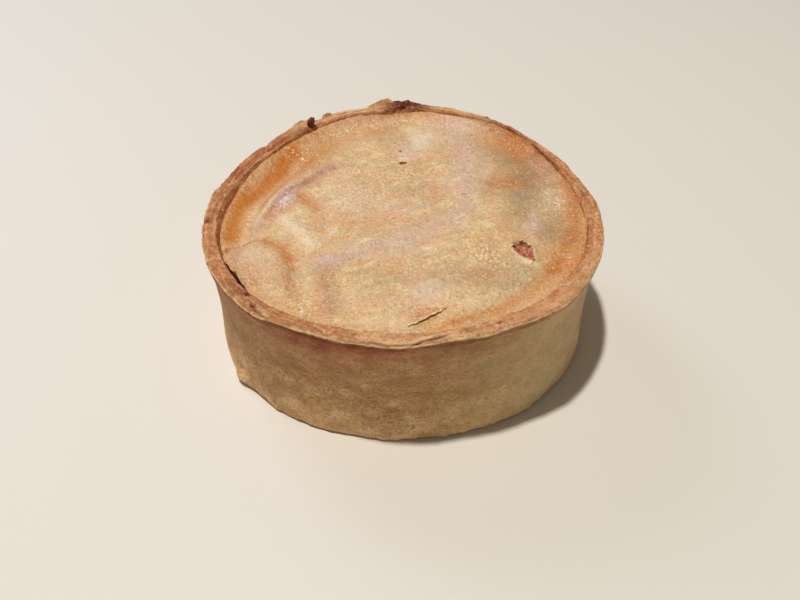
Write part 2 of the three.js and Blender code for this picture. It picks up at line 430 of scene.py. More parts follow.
@dataclass(frozen=True)
class LidForm:
    """Plain form of the lid, as in its solid, by its depth below the rim."""

    case: CaseForm = CaseForm()
    thickness: float = 2.6
    plateau_depth: float = 0.6
    edge_depth: float = 0.75
    edge_sunk: Swell = Swell(183.0, 35.0, 1.35)
    edge_raised: Swell = Swell(80.0, 48.0, 1.5)
    gutter_depth: float = 1.5
    gutter_sunk_left: Swell = Swell(163.0, 38.0, 2.3)
    gutter_sunk_right: Swell = Swell(0.0, 35.0, 0.5)
    gutter_raised: Swell = Swell(85.0, 45.0, 0.6)
    gutter_radius: float = 38.0
    gutter_inward: Swell = Swell(153.0, 32.0, 2.8)
    bank_width: float = 7.0
    bank_steeper: Swell = Swell(160.0, 45.0, 1.6)
    edge_curl: float = 1.5
    slit: Swell = Swell(212.0, 8.0, 0.7)
    blister: Oval = Oval(-30.5, -18.9, 11.0, 8.0, -55.0)
    blister_depth: float = -0.2
    blister_crown: float = 0.45
    mounds: tuple[Mound, ...] = (
        Mound(-28.0, 6.7, 5.0, 0.6),
        Mound(8.0, 27.0, 7.0, 0.4),
        Mound(30.0, -1.0, 6.5, -0.9),
        Mound(-8.0, -26.0, 8.0, -0.35),
    )
    fold: Streak = Streak(((-18.0, -18.3), (13.7, 2.7)), 3.0, 0.35)
    swell_length: float = 21.0
    swell_rise: float = 0.2
    tear: Oval = Oval(27.0, -14.8, 3.4, 2.0, -72.0)
    tear_ragged: float = 0.15
    vent: Oval = Oval(0.2, 19.9, 1.0, 0.7, 0.0)
    vent_ragged: float = 0.1

    def gutter_at(self, angle: float) -> float:
        """Plan radius of the bottom of the gutter."""
        return self.gutter_radius - self.gutter_inward.at(angle)

    def bank_top(self, angle: float) -> float:
        """Plan radius where the plateau ends and the bank goes down to the gutter."""
        return self.gutter_at(angle) - self.bank_width + self.bank_steeper.at(angle)

    def depth(self, radius: float, angle: float) -> float:
        """Depth of the lid below the rim: plateau, bank, gutter, then the rise to the edge.

        Args:
            radius: plan radius, as on a round pie.
            angle: plan angle.

        Returns:
            Depth below the height of the case.
        """
        gutter_radius = self.gutter_at(angle)
        sunk = self.gutter_sunk_left.at(angle) + self.gutter_sunk_right.at(angle)
        gutter = self.gutter_depth + sunk - self.gutter_raised.at(angle)
        if radius <= gutter_radius:
            return mix(self.plateau_depth, gutter, smoothstep(radius, self.bank_top(angle), gutter_radius))
        edge = self.edge_depth + self.edge_sunk.at(angle) - self.edge_raised.at(angle)
        share = (radius - gutter_radius) / (self.case.mouth.radius - gutter_radius)
        return mix(gutter, edge, min(share, 1.0) ** self.edge_curl)

    def edge_height(self, angle: float) -> float:
        """Height of the lid where it meets the case."""
        return self.case.height - self.depth(self.case.mouth.radius, angle)

    def blister_share(self, x: float, y: float) -> float:
        """Share of the blister at a place: 1 on its crown, 0 outside it."""
        return 1.0 - smoothstep(self.blister.distance(x, y), self.blister_crown, 1.0)

    def top(self, x: float, y: float) -> float:
        """Height of the lid's upper face.

        Args:
            x: place on the lid.
            y: place on the lid.

        Returns:
            Height above the foot.
        """
        angle = plan_angle(x, y)
        depth = self.depth(math.hypot(x, y) / self.case.plan_scale(angle), angle)
        depth -= sum(mound.at(x, y) for mound in self.mounds)
        depth -= self.fold.at(x, y)
        wave = math.tau / self.swell_length
        depth -= self.swell_rise * math.sin(wave * x) * math.cos(wave * y)
        return self.case.height - mix(depth, self.blister_depth, self.blister_share(x, y))

    def under(self, x: float, y: float) -> float:
        """Height of the lid's lower face, which follows the plain lid.

        Args:
            x: place on the lid.
            y: place on the lid.

        Returns:
            Height above the foot.
        """
        angle = plan_angle(x, y)
        radius = math.hypot(x, y) / self.case.plan_scale(angle)
        return self.case.height - self.thickness - self.depth(radius, angle)


@dataclass(frozen=True)
class Station:
    """A corner of a spun section: its place, the cuts on the way to it and its share across the rim."""

    radius: float
    height: float
    cuts: int = 0
    across: float = 0.0


def spun(stations: Sequence[Station], doublings: int, soften: int = 0) -> bmesh.types.BMesh:
    """Spins a section about the Z axis into a closed body.

    Args:
        stations: corners of the section, from the axis round to the axis again.
        doublings: how many times the first spun sector is doubled to make the full round.
        soften: how many times the corners are eased before the spin.

    Returns:
        The body, with each vertex's share across the rim in a layer.
    """
    body = bmesh.new()
    layer = body.verts.layers.float.new(ACROSS)
    corners = []
    for station in stations:
        corner = body.verts.new((station.radius, 0.0, station.height))
        corner[layer] = station.across
        corners.append(corner)
    legs = [body.edges.new(pair) for pair in zip(corners, corners[1:])]
    for leg, station in zip(legs, stations[1:]):
        if station.cuts:
            bmesh.ops.subdivide_edges(body, edges=[leg], cuts=station.cuts)
    middle = [vert for vert in body.verts if len(vert.link_edges) == 2]
    for _ in range(soften):
        bmesh.ops.smooth_vert(body, verts=middle, factor=0.5, use_axis_x=True, use_axis_z=True)
    up = (0.0, 0.0, 1.0)
    angle = math.tau / 2**doublings
    bmesh.ops.spin(body, geom=body.verts[:] + body.edges[:], axis=up, angle=angle, steps=SPIN_STEPS)
    for _ in range(doublings):
        copied = bmesh.ops.duplicate(body, geom=body.verts[:] + body.edges[:] + body.faces[:])["geom"]
        turned = [item for item in copied if isinstance(item, bmesh.types.BMVert)]
        bmesh.ops.rotate(body, verts=turned, matrix=Matrix.Rotation(angle, 3, "Z"))
        angle *= 2.0
    merge_distance = MERGE_SHARE * max(station.radius for station in stations)
    bmesh.ops.remove_doubles(body, verts=body.verts[:], dist=merge_distance)
    bmesh.ops.recalc_face_normals(body, faces=body.faces[:])
    return body


def to_object(body: bmesh.types.BMesh, name: str, lobe: float) -> bpy.types.Object:
    """Turns a body in plan millimetres into an object in the row frame.

    Args:
        body: the body, which is freed.
        name: name of the object and its mesh.
        lobe: how far the plan frame lies behind the row frame.

    Returns:
        The object, smooth and linked to the scene.
    """
    to_row = Matrix.Diagonal((MM, MM, MM, 1.0)) @ Matrix.Translation((0.0, -lobe, 0.0))
    bmesh.ops.transform(body, matrix=to_row, verts=body.verts[:])
    for face in body.faces:
        face.smooth = True
    mesh = bpy.data.meshes.new(name)
    body.to_mesh(mesh)
    body.free()
    made = bpy.data.objects.new(name, mesh)
    bpy.context.scene.collection.objects.link(made)
    return made


def plan_points(made: bpy.types.Object, lobe: float) -> list[Vector]:
    """Places of an object's vertices in plan millimetres.

    Args:
        made: an object in the row frame.
        lobe: how far the plan frame lies behind the row frame.

    Returns:
        One point for each vertex.
    """
    return [vertex.co / MM + Vector((0.0, lobe, 0.0)) for vertex in made.data.vertices]


def paint(made: bpy.types.Object, zone: Zone, values: Sequence[float]) -> None:
    """Stores one value for each vertex of an object.

    Args:
        made: the object.
        zone: which attribute holds the values.
        values: one value for each vertex.
    """
    attribute = made.data.attributes.new(zone.value, "FLOAT", "POINT")
    attribute.data.foreach_set("value", values)


def carve(made: bpy.types.Object, cutter: bpy.types.Object) -> None:
    """Cuts one object out of another and removes the cutter.

    Args:
        made: the object that is cut.
        cutter: the closed object that goes.
    """
    cut = made.modifiers.new("cut", "BOOLEAN")
    cut.operation = "DIFFERENCE"
    cut.solver = "MANIFOLD"
    cut.object = cutter
    carved = bpy.data.meshes.new_from_object(made.evaluated_get(bpy.context.evaluated_depsgraph_get()))
    made.modifiers.clear()
    made.data = carved
    carved.name = made.name
    bpy.data.objects.remove(cutter)


def finish(made: bpy.types.Object, slot: Slot, material: bpy.types.Material, *nodes: str) -> None:
    """Gives a finished piece its body and material, and hides the nodes that it stands for.

    Args:
        made: the piece.
        slot: material slot of the record; not used.
        material: its finish.
        nodes: solids that the piece replaces.
    """
    made.data.materials.clear()
    made.data.materials.append(material)
    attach(made, BODY)
    if nodes:
        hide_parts(*nodes)
    LOG.info("%s: %d faces", made.name, len(made.data.polygons))


def linear(colour: str) -> tuple[float, float, float, float]:
    """Linear colour of an sRGB hex value.

    Args:
        colour: six hex digits after a hash.

    Returns:
        Red, green, blue and full alpha.
    """
    shares = [int(colour[start : start + 2], 16) / 255.0 for start in (1, 3, 5)]
    red, green, blue = (s / 12.92 if s <= 0.04045 else ((s + 0.055) / 1.055) ** 2.4 for s in shares)
    return red, green, blue, 1.0


def add_node(
    tree: bpy.types.NodeTree,
    kind: str,
    settings: dict[str, object] | None = None,
    inputs: dict[str | int, object] | None = None,
) -> bpy.types.Node:
    """Adds a node with its settings and links.

    Args:
        tree: the material's node tree.
        kind: type of node, without the ShaderNode in front.
        settings: the node's own properties.
        inputs: for each input, by name or number, the socket that feeds it or its value.

    Returns:
        The node.
    """
    node = tree.nodes.new("ShaderNode" + kind)
    for name, value in (settings or {}).items():
        setattr(node, name, value)
    for name, value in (inputs or {}).items():
        if isinstance(value, bpy.types.NodeSocket):
            tree.links.new(value, node.inputs[name])
        else:
            node.inputs[name].default_value = value
    return node


def blank_material(name: str) -> bpy.types.Material:
    """Makes a material with an empty node tree.

    Args:
        name: the finish, and how its surface was made.

    Returns:
        The material.
    """
    made = bpy.data.materials.new(name)
    made.use_nodes = True
    made.node_tree.nodes.clear()
    return made


def add_surface(tree: bpy.types.NodeTree, inputs: dict[str, object]) -> None:
    """Adds the shader of a material and its output.

    Args:
        tree: the material's node tree.
        inputs: for each input of the shader, the socket that feeds it or its value.
    """
    surface = add_node(tree, "BsdfPrincipled", None, inputs)
    add_node(tree, "OutputMaterial", None, {"Surface": surface.outputs[0]})


def set_ramp(ramp: bpy.types.Node, stops: Sequence[tuple[float, str]]) -> None:
    """Sets the colours of a ramp.

    Args:
        ramp: a ColorRamp node.
        stops: places from 0 to 1 with their hex colours.
    """
    elements = ramp.color_ramp.elements
    while len(elements) < len(stops):
        elements.new(1.0)
    for element, (position, colour) in zip(elements, stops):
        element.position = position
        element.color = linear(colour)


@dataclass(frozen=True)
class Pattern:
    """Noise of one size, which may be drawn out along a plan direction."""

    size_mm: float
    stretch: float = 1.0
    turn: float = 0.0
    detail: float = 3.0
    roughness: float = 0.6

    def socket(self, tree: bpy.types.NodeTree) -> bpy.types.NodeSocket:
        """Adds the pattern to a material.

        Args:
            tree: the material's node tree.

        Returns:
            The socket that gives the pattern, from about 0.25 to 0.75.
        """
        vector = add_node(tree, "TexCoord").outputs["Object"]
        if self.stretch != 1.0:
            turned = (0.0, 0.0, math.radians(self.turn))
            drawn = {"Vector": vector, "Rotation": turned, "Scale": (self.stretch, 1.0, 1.0)}
            vector = add_node(tree, "Mapping", {"vector_type": "TEXTURE"}, drawn).outputs[0]
        inputs = {
            "Vector": vector,
            "Scale": 1.0 / (self.size_mm * MM),
            "Detail": self.detail,
            "Roughness": self.roughness,
        }
        return add_node(tree, "TexNoise", None, inputs).outputs["Fac"]


@dataclass(frozen=True)
class Tint:
    """A colour that lies over the crust in patches, everywhere or only in one zone."""

    colour: str
    pattern: Pattern
    share: float = 1.0
    zone: Zone | None = None
    patchy: float = 1.0
    low: float = 0.4
    high: float = 0.62

    def over(self, tree: bpy.types.NodeTree, under: bpy.types.NodeSocket) -> bpy.types.NodeSocket:
        """Lays the tint over a colour.

        Args:
            tree: the material's node tree.
            under: socket of the colour below.

        Returns:
            The socket of the tinted colour.
        """
        limits = {
            "Value": self.pattern.socket(tree),
            "From Min": self.low,
            "From Max": self.high,
            "To Min": self.share * (1.0 - self.patchy),
            "To Max": self.share,
        }
        share = add_node(tree, "MapRange", None, limits).outputs[0]
        if self.zone:
            zone = add_node(tree, "Attribute", {"attribute_name": self.zone.value}).outputs["Fac"]
            settings = {"operation": "MULTIPLY", "use_clamp": True}
            share = add_node(tree, "Math", settings, {0: share, 1: zone}).outputs[0]
        inputs = {0: share, MIX_UNDER: under, MIX_OVER: linear(self.colour)}
        return add_node(tree, "Mix", {"data_type": "RGBA"}, inputs).outputs[2]


@dataclass(frozen=True)
class Crust:
    """Shortcrust pastry, baked: pale where the oven missed it, through gold and red-brown to burnt."""

    name: str
    stops: tuple[tuple[float, str], ...]
    browning: tuple[tuple[Pattern, float], ...]
    tints: tuple[Tint, ...]
    dry_roughness: float
    glint_roughness: float
    coat: float
    coat_roughness: float
    glint: Pattern = Pattern(0.9, detail=1.0)
    glint_limits: Fade = Fade(0.46, 0.62)
    relief: tuple[tuple[Pattern, float], ...] = ((Pattern(1.7), 0.4), (Pattern(0.6, detail=2.0), 0.22))
    ior: float = 1.47

    def colour(self, tree: bpy.types.NodeTree) -> bpy.types.NodeSocket:
        """Adds the colour: how far the crust is baked, uneven at every size, and the tints over it; both
        carry painted shade and highlights besides the crust's own colour.

        Args:
            tree: the material's node tree.

        Returns:
            The socket of the colour.
        """
        baked = add_node(tree, "Attribute", {"attribute_name": Zone.BAKE.value}).outputs["Fac"]
        for pattern, by in self.browning:
            inputs = {0: pattern.socket(tree), 1: by, 2: baked}
            baked = add_node(tree, "Math", {"operation": "MULTIPLY_ADD"}, inputs).outputs[0]
        middle = sum(by for _, by in self.browning) / 2.0
        centred = add_node(tree, "Math", {"operation": "SUBTRACT"}, {0: baked, 1: middle})
        ramp = add_node(tree, "ValToRGB", None, {"Fac": centred.outputs[0]})
        set_ramp(ramp, self.stops)
        colour = ramp.outputs["Color"]
        for tint in self.tints:
            colour = tint.over(tree, colour)
        return colour

    def roughness(self, tree: bpy.types.NodeTree) -> bpy.types.NodeSocket:
        """Adds the roughness: dry crust with small smooth glints.

        Args:
            tree: the material's node tree.

        Returns:
            The socket of the roughness.
        """
        limits = {
            "Value": self.glint.socket(tree),
            "From Min": self.glint_limits.low,
            "From Max": self.glint_limits.high,
        }
        smooth = add_node(tree, "MapRange", None, limits).outputs[0]
        film = add_node(tree, "Attribute", {"attribute_name": Zone.GLOSS_AND_PAINTED_GLINT.value}).outputs["Fac"]
        shine = add_node(tree, "Math", {"operation": "MULTIPLY"}, {0: smooth, 1: film})
        limits = {"Value": shine.outputs[0], "To Min": self.dry_roughness, "To Max": self.glint_roughness}
        return add_node(tree, "MapRange", None, limits).outputs[0]

    def material(self) -> bpy.types.Material:
        """Builds the material.

        Returns:
            A material that reads from the vertices what the oven did at each place.
        """
        made = blank_material(self.name)
        tree = made.node_tree
        normal = {}
        for pattern, height in self.relief:
            inputs = {"Height": pattern.socket(tree), "Distance": height * MM, **normal}
            normal = {"Normal": add_node(tree, "Bump", None, inputs).outputs[0]}
        inputs = {
            "Base Color": self.colour(tree),
            "Roughness": self.roughness(tree),
            "IOR": self.ior,
            "Coat Weight": self.coat,
            "Coat Roughness": self.coat_roughness,
            "Coat Normal": normal["Normal"],
            **normal,
        }
        add_surface(tree, inputs)
        return made


@dataclass(frozen=True)
class CookedMince:
    """Cooked minced mutton, moist with fat: red-brown grains with a soft wet shine."""

    name: str = "cooked_mince_moist"
    stops: tuple[tuple[float, str], ...] = ((0.34, "#7d3d2a"), (0.5, "#b5694b"), (0.66, "#d99a76"))
    grain: Pattern = Pattern(1.1, detail=4.0)
    fibre: Pattern = Pattern(0.4, detail=2.0)
    fibre_height_mm: float = 0.08
    roughness: float = 0.38
    ior: float = 1.44

    def material(self) -> bpy.types.Material:
        """Builds the material.

        Returns:
            A material of red-brown grains and paler fat.
        """
        made = blank_material(self.name)
        tree = made.node_tree
        ramp = add_node(tree, "ValToRGB", None, {"Fac": self.grain.socket(tree)})
        set_ramp(ramp, self.stops)
        inputs = {"Height": self.fibre.socket(tree), "Distance": self.fibre_height_mm * MM}
        bump = add_node(tree, "Bump", None, inputs)
        inputs = {
            "Base Color": ramp.outputs["Color"],
            "Roughness": self.roughness,
            "IOR": self.ior,
            "Normal": bump.outputs[0],
        }
        add_surface(tree, inputs)
        return made


# The case was baked in a metal ring and never glazed: a dry, matte crust, tan, painted lighter below and
# darker upwards as shade on the wall, and browner at the rim
CASE_CRUST = Crust(
    name="shortcrust_pastry_baked_dry",
    stops=(
        (0.0, "#f4ca94"),
        (0.2, "#d2a46b"),
        (0.42, "#e6ae85"),
        (0.6, "#c68252"),
        (0.75, "#a45c38"),
        (0.88, "#6e2b19"),
        (1.0, "#33120b"),
    ),
    browning=((Pattern(9.0), 0.5), (Pattern(2.6), 0.6), (Pattern(0.8, detail=4.0), 1.0)),
    tints=(
        Tint("#a8834a", Pattern(6.0), 0.5),
        Tint("#b0703c", Pattern(4.0, 2.5, 10.0), 0.45),
        Tint("#86602f", Pattern(0.7, detail=4.0), 0.6, low=0.5, high=0.66),
        # Olive tint on the right wall, partly olive crust and partly painted light
        Tint("#dcc796", Pattern(4.0), 0.75, Zone.DAMP_AND_PAINTED_LIGHT, 0.4),
        # Reddish crust, and painted shade under the lip
        Tint("#a2522c", Pattern(3.0), 1.0, Zone.BLUSH_AND_SHADE, 0.5),
        # Pale crumb, and the painted highlight along the lip
        Tint("#f0d2a2", Pattern(0.9), 1.0, Zone.PALE_AND_HIGHLIGHT, 0.4),
        # Charring, and painted shade in cracks and pits, with a painted shadow line under the lip
        Tint("#5f1a09", Pattern(0.9), 1.0, Zone.CHAR_AND_SHADE, 0.4),
    ),
    dry_roughness=0.75,
    glint_roughness=0.45,
    coat=0.0,
    coat_roughness=0.3,
)

# The lid was brushed with egg: thin and patchy on the plateau, golden where it pooled, with small glints that
# are partly gloss and partly painted pale specks, and a painted sheen
LID_CRUST = Crust(
    name="shortcrust_pastry_egg_glazed",
    stops=(
        (0.0, "#f2dcab"),
        (0.2, "#e0be8d"),
        (0.4, "#e0a86c"),
        (0.58, "#cb843e"),
        (0.75, "#ad6539"),
        (0.88, "#6a2f1b"),
        (1.0, "#1c0d08"),
    ),
    browning=(
        (Pattern(9.0), 0.5),
        (Pattern(3.2), 0.5),
        (Pattern(1.3, 4.0, 22.0), 0.5),
        (Pattern(0.7, detail=4.0), 1.15),
    ),
    tints=(
        Tint("#c8a75c", Pattern(2.4), 0.5),
        Tint("#e0a07c", Pattern(5.0), 0.35),
        Tint("#b99f82", Pattern(1.8, 5.0, 24.0), 0.4),
        Tint("#a0886a", Pattern(4.0), 1.0, Zone.DAMP_AND_PAINTED_LIGHT, 0.4),
        # Mauve, which along the crease beside the ridge is painted shade
        Tint("#bd8772", Pattern(2.2), 1.0, Zone.BLUSH_AND_SHADE, 0.5),
        Tint("#bf6e04", Pattern(2.6), 1.0, Zone.GLAZE, 0.08, 0.36, 0.62),
        # Painted reflection of cool light: a lavender sheen
        Tint("#d6bdc0", Pattern(2.6), 0.9, Zone.PAINTED_SHEEN, 0.35),
        # Pale crumb, and painted highlights on ridges, edges and the blister
        Tint("#f3e3c4", Pattern(1.2), 1.0, Zone.PALE_AND_HIGHLIGHT, 0.5),
        Tint("#94703e", Pattern(0.8, detail=4.0), 0.5, low=0.56, high=0.68),
        # Painted glints: pale specks where the glaze would catch the lamp
        Tint("#fff2cc", Pattern(0.62, detail=1.0), 0.9, Zone.GLOSS_AND_PAINTED_GLINT, low=0.58, high=0.67),
        # Dark specks, and painted shadow in the tear
        Tint("#35190f", Pattern(0.6), 1.0, Zone.CHAR_AND_SHADE, 0.2),
    ),
    dry_roughness=0.5,
    glint_roughness=0.16,
    coat=0.07,
    coat_roughness=0.2,
)


@dataclass(frozen=True)
class RimPlace:
    """Where a vertex of the case lies, and how the flaky rim is broken there."""

    point: Vector
    across: float
    angle: float
    drop: float
    width: float
    on_rim: float
    burnt: float
    layer: float
    torn: float


@dataclass(frozen=True)
class Mark:
    """A small mark on the rim: a pit where the depth is positive, and how much browner the crust is there."""

    angle: float
    across: float
    reach: float
    depth: float
    bake: float

    def share(self, place: RimPlace) -> float:
        """Share of the mark at a place: 1 in its middle, fading to 0 over its reach."""
        round_rim = math.radians(apart(place.angle, self.angle)) * math.hypot(place.point.x, place.point.y)
        return hill(math.hypot(round_rim, (place.across - self.across) * place.width), self.reach)


@dataclass(frozen=True)
class Crack:
    """A crack that runs along the rim, with the crust on its inner side lifted.

    The line lies inward of the crest by a distance that grows with the plan angle by the slant, in mm to the
    degree.
    """

    along: Swell
    inward: float
    lift: float
    slant: float = 0.0
    width: float = 0.22
    flap: float = 1.5
    flap_full: float = 0.4
    spreads: float = 3.0
    wander: Uneven = Uneven(0.0, 0.35, 1.6, 4.0)

    def near(self, place: RimPlace) -> bool:
        """Whether a place is close enough for the crack to matter."""
        return abs(apart(place.angle, self.along.angle)) < self.spreads * self.along.spread

    def offset(self, place: RimPlace) -> float:
        """Distance inward from the wandering line of the crack.

        Args:
            place: a place on the case.

        Returns:
            The distance, less than 0 on the outer side.
        """
        lap = place.across * place.width if place.across else -place.drop
        line = lap - self.inward - self.slant * apart(place.angle, self.along.angle)
        return line + self.wander.at(place.point)

    def groove(self, place: RimPlace) -> float:
        """Depth of the groove at a place.

        Args:
            place: a place on the case.

        Returns:
            The depth, 0 away from the crack.
        """
        if not self.near(place):
            return 0.0
        return self.along.at(place.angle) * hill(self.offset(place), self.width)

    def raised(self, place: RimPlace) -> float:
        """Share of the lifted flap at a place.

        Args:
            place: a place on the case.

        Returns:
            The share, 0 away from the crack.
        """
        if not self.near(place):
            return 0.0
        offset = self.offset(place)
        flap = smoothstep(offset, 0.0, self.width) * smoothstep(offset, self.flap, self.flap_full * self.flap)
        return self.along.at(place.angle) * flap


@dataclass
class PastryCase:
    """The case: flat base, waisted wall, ragged foot and a flaky, browned rim."""

    lid: LidForm = LidForm()
    doublings: int = 5
    soften: int = 2
    wall_dents: Layers = ((11.0, 0.18), (3.0, 0.06), (1.1, 0.04))
    rim_crumb: Layers = ((4.0, 0.08), (1.7, 0.1), (0.8, 0.11), (0.5, 0.09))
    burnt_crumb: Layers = ((1.8, 0.6), (0.8, 0.4))
    foot_crumb: Layers = ((3.5, 0.34), (1.5, 0.34), (0.7, 0.16))
    foot_pale: float = 0.7
    foot_reach: float = 1.3
    rim_reach: float = 1.6
    layer_stretch: float = 6.0
    layer_size: float = 1.7
    layer_treads: float = 1.7
    layer_height: float = 0.28
    undercut_depth: float = 0.38
    undercut_drop: float = 1.4
    undercut_reach: float = 0.42
    lip_worn: tuple[Swell, ...] = (
        Swell(246.0, 6.0, 0.7),
        Swell(283.0, 9.0, 0.8),
        Swell(298.0, 8.0, 0.6),
        Swell(228.0, 7.0, -0.5),
        Swell(317.0, 7.0, -0.4),
    )
    lip_worn_reach: float = 6.0
    wall_crease: Streak = Streak(((5.0, 10.9), (2.9, 7.2), (-2.4, 5.6)), 0.6, 0.14)
    wall_crease_angle: float = 290.0
    marks: tuple[Mark, ...] = (
        Mark(297.1, 0.6, 0.6, 0.7, 0.36),
        Mark(287.6, 0.6, 1.4, 0.15, 0.2),
        Mark(227.0, 0.4, 0.55, 0.6, 0.36),
        Mark(222.5, 0.75, 0.5, 0.5, 0.36),
        Mark(185.9, 0.15, 0.9, 0.3, 0.6),
        Mark(181.0, 0.2, 1.6, 0.0, 0.1),
    )
    cracks: tuple[Crack, ...] = (
        Crack(Swell(277.5, 4.5, 0.6), 0.5, 0.7, 0.19),
        Crack(Swell(266.0, 9.0, 0.3), -0.35, 0.4),
        Crack(Swell(247.5, 2.6, 0.35), 0.5, 0.5, -0.25),
        Crack(Swell(230.0, 2.6, 0.4), 0.5, 0.4, -0.25),
        Crack(Swell(107.0, 8.0, 0.4), 1.0, 0.2),
        Crack(Swell(65.0, 14.0, 0.25), 0.5, 0.2),
    )
    # Painted shade in the grooves of the cracks
    crack_painted_shade: float = 1.9
    crack_pale: float = 0.9
    # Darker marks, with painted shade in their pits
    mark_char_and_shade: float = 1.5
    rim_bake: float = 0.42
    rim_browner: tuple[Swell, ...] = (
        Swell(175.0, 40.0, 0.08),
        Swell(230.0, 26.0, 0.28),
        Swell(150.0, 20.0, 0.02),
        Swell(18.0, 16.0, 0.1),
        Swell(5.0, 25.0, 0.13),
        Swell(50.0, 16.0, 0.22),
        Swell(88.5, 7.5, 0.5),
        Swell(275.0, 22.0, -0.1),
        Swell(325.0, 18.0, -0.12),
        Swell(128.0, 5.0, -0.14),
        Swell(106.0, 9.0, -0.14),
    )
    # Browning of the rim's inner slope, with painted light: lighter at 158 and 10 degrees, where the slope
    # and seam lie in shade, and painted shade at the seam at 335
    slope_browning_and_painted_light: tuple[Swell, ...] = (
        Swell(110.0, 16.0, 0.2),
        Swell(88.5, 8.0, -0.7),
        Swell(45.0, 22.0, 0.14),
        Swell(158.0, 30.0, -0.3),
        Swell(10.0, 22.0, -0.2),
        Swell(335.0, 16.0, 0.3),
        Swell(268.0, 34.0, -0.08),
    )
    slope_blush: tuple[Swell, ...] = (
        Swell(168.0, 38.0, 0.6),
        Swell(108.0, 14.0, 0.9),
        Swell(54.0, 22.0, 0.8),
    )
    # Painted shade where the lid meets the rim
    seam_painted_shade: float = 0.16
    seam_reach: float = 0.55
    # The wall runs from the foot value up to the wall value as painted shade: lighter at the foot, darker
    # upwards
    wall_bake: float = 0.3
    foot_bake: float = -0.06
    # Reddish crust under the lip in front, partly painted shade
    wall_blush_and_shade: Swell = Swell(248.0, 40.0, 1.3)
    wall_blush_drop: float = 2.2
    wall_blush_reach: float = 3.4
    rim_blush: float = 0.3
    rim_redder: Swell = Swell(150.0, 26.0, 1.0)
    rim_tilt: Swell = Swell(150.0, 24.0, 0.6)
    rim_pale: tuple[Swell, ...] = (Swell(127.0, 4.0, 0.4), Swell(108.0, 9.0, 0.6), Swell(68.0, 11.0, 0.6))
    torn_pale: float = 0.4
    # Painted highlight along the lip's edge
    lip_painted_highlight: float = 1.0
    lip_drop: float = 0.5
    lip_reach: float = 0.2
    # Painted shadow: a dark line under the lip
    painted_lip_shadow: float = 0.4
    lip_line_drop: float = 1.05
    lip_line_reach: float = 0.2
    burnt_char: float = 1.5
    seam_char: Swell = Swell(126.0, 5.0, 0.9)
    # Olive crust on the right wall, partly painted light that makes it lighter
    right_wall_olive_and_painted_light: Swell = Swell(316.0, 26.0, 1.0)
    damp_below: Fade = Fade(0.8, 3.0)
    wall_below: Fade = Fade(0.8, 1.3)
    # Painted shade: the wall lighter at the foot and darker upwards
    wall_painted_shading: Fade = Fade(3.0, 22.0)
    tilt_across: Fade = Fade(0.2, 1.0)
    bake_across: Fade = Fade(0.45, 0.95)
    pale_across: Fade = Fade(0.4, 0.7)
    redder_across: Fade = Fade(0.6, 0.95)
    blush_across: Fade = Fade(0.35, 0.85)
    blush_size: float = 4.5
    blush_patch: Fade = Fade(0.0, 0.5)
    redder_least: float = 0.6
    burnt_below: Fade = Fade(0.9, 1.8)
    burnt_shift: float = 2.0
    burnt_bake: Uneven = Uneven(0.0, 0.12, 0.9, 6.0)
    burnt_uneven: Uneven = Uneven(0.8, 0.8, 1.1, 6.0)
    seam_across: float = 0.85
    seam_width: float = 0.2
    undercut_uneven: Uneven = Uneven(1.0, 0.8, 2.5, 9.0)
    crumb_uneven: Uneven = Uneven(0.8, 0.7, 1.2, 3.0)
    line_uneven: Uneven = Uneven(0.6, 1.2, 2.0, 9.0)
    finer_layer: float = 0.4
    finer_size: float = 2.3

    @property
    def form(self) -> CaseForm:
        """Plain form of the case."""
        return self.lid.case

    def stations(self) -> list[Station]:
        """Corners of the section, from the middle of the base round to the middle of the floor.

        Returns:
            The corners in order.
        """
        form = self.form
        foot = form.foot_radius
        corner = form.foot_round * (1.0 - math.sqrt(0.5))
        floor_edge = form.inner_foot.radius - form.floor_fillet
        return [
            Station(0.0, 0.0),
            Station(foot - form.foot_strip, 0.0, 5),
            Station(foot - form.foot_round, 0.0, 6),
            Station(foot - corner, corner, 2),
            Station(foot, form.foot_round, 2),
            Station(form.waist.radius, form.waist.height, 17),
            Station(form.shoulder.radius, form.shoulder.height, 15),
            Station(form.lip_start.radius, form.lip_start.height, 9),
            Station(form.lip.radius, form.lip.height, 14),
            Station(form.crest.radius, form.crest.height, 3),
            Station(form.mouth.radius, form.mouth.height, 24, across=1.0),
            Station(form.seat.radius, form.seat.height, 12, across=1.0),
            Station(form.inner_foot.radius, form.inner_foot.height, 5, across=1.0),
            Station(floor_edge, form.floor_height, 1, across=1.0),
            Station(0.0, form.floor_height, 4, across=1.0),
        ]

    def shape(self, body: bmesh.types.BMesh) -> None:
        """Gives the spun body its lobes, its uneven rim and its ragged foot.

        Args:
            body: the spun section, which is moved.
        """
        form = self.form
        layer = body.verts.layers.float[ACROSS]
        for vert in body.verts:
            x, y, z = vert.co
            angle = plan_angle(x, y)
            radius = math.hypot(x, y)
            across = vert[layer]
            if across == 0.0:
                radius += form.foot_flare(z, angle) * radius / form.foot_radius
            radius *= mix(1.0, form.inside_scale(angle), across) * form.plan_scale(angle)
            if z > form.height - self.lip_worn_reach:
                worn = (1.0 - across) * swollen(self.lip_worn, angle)
                radius -= worn * smoothstep(z, form.height - self.lip_worn_reach, form.lip.height)
            high = smoothstep(z, form.seat.height, form.mouth.height)
            z += (form.rim_rise(angle) - self.rim_tilt.at(angle) * self.tilt_across.at(across)) * high
            vert.co = *around(radius, angle), z

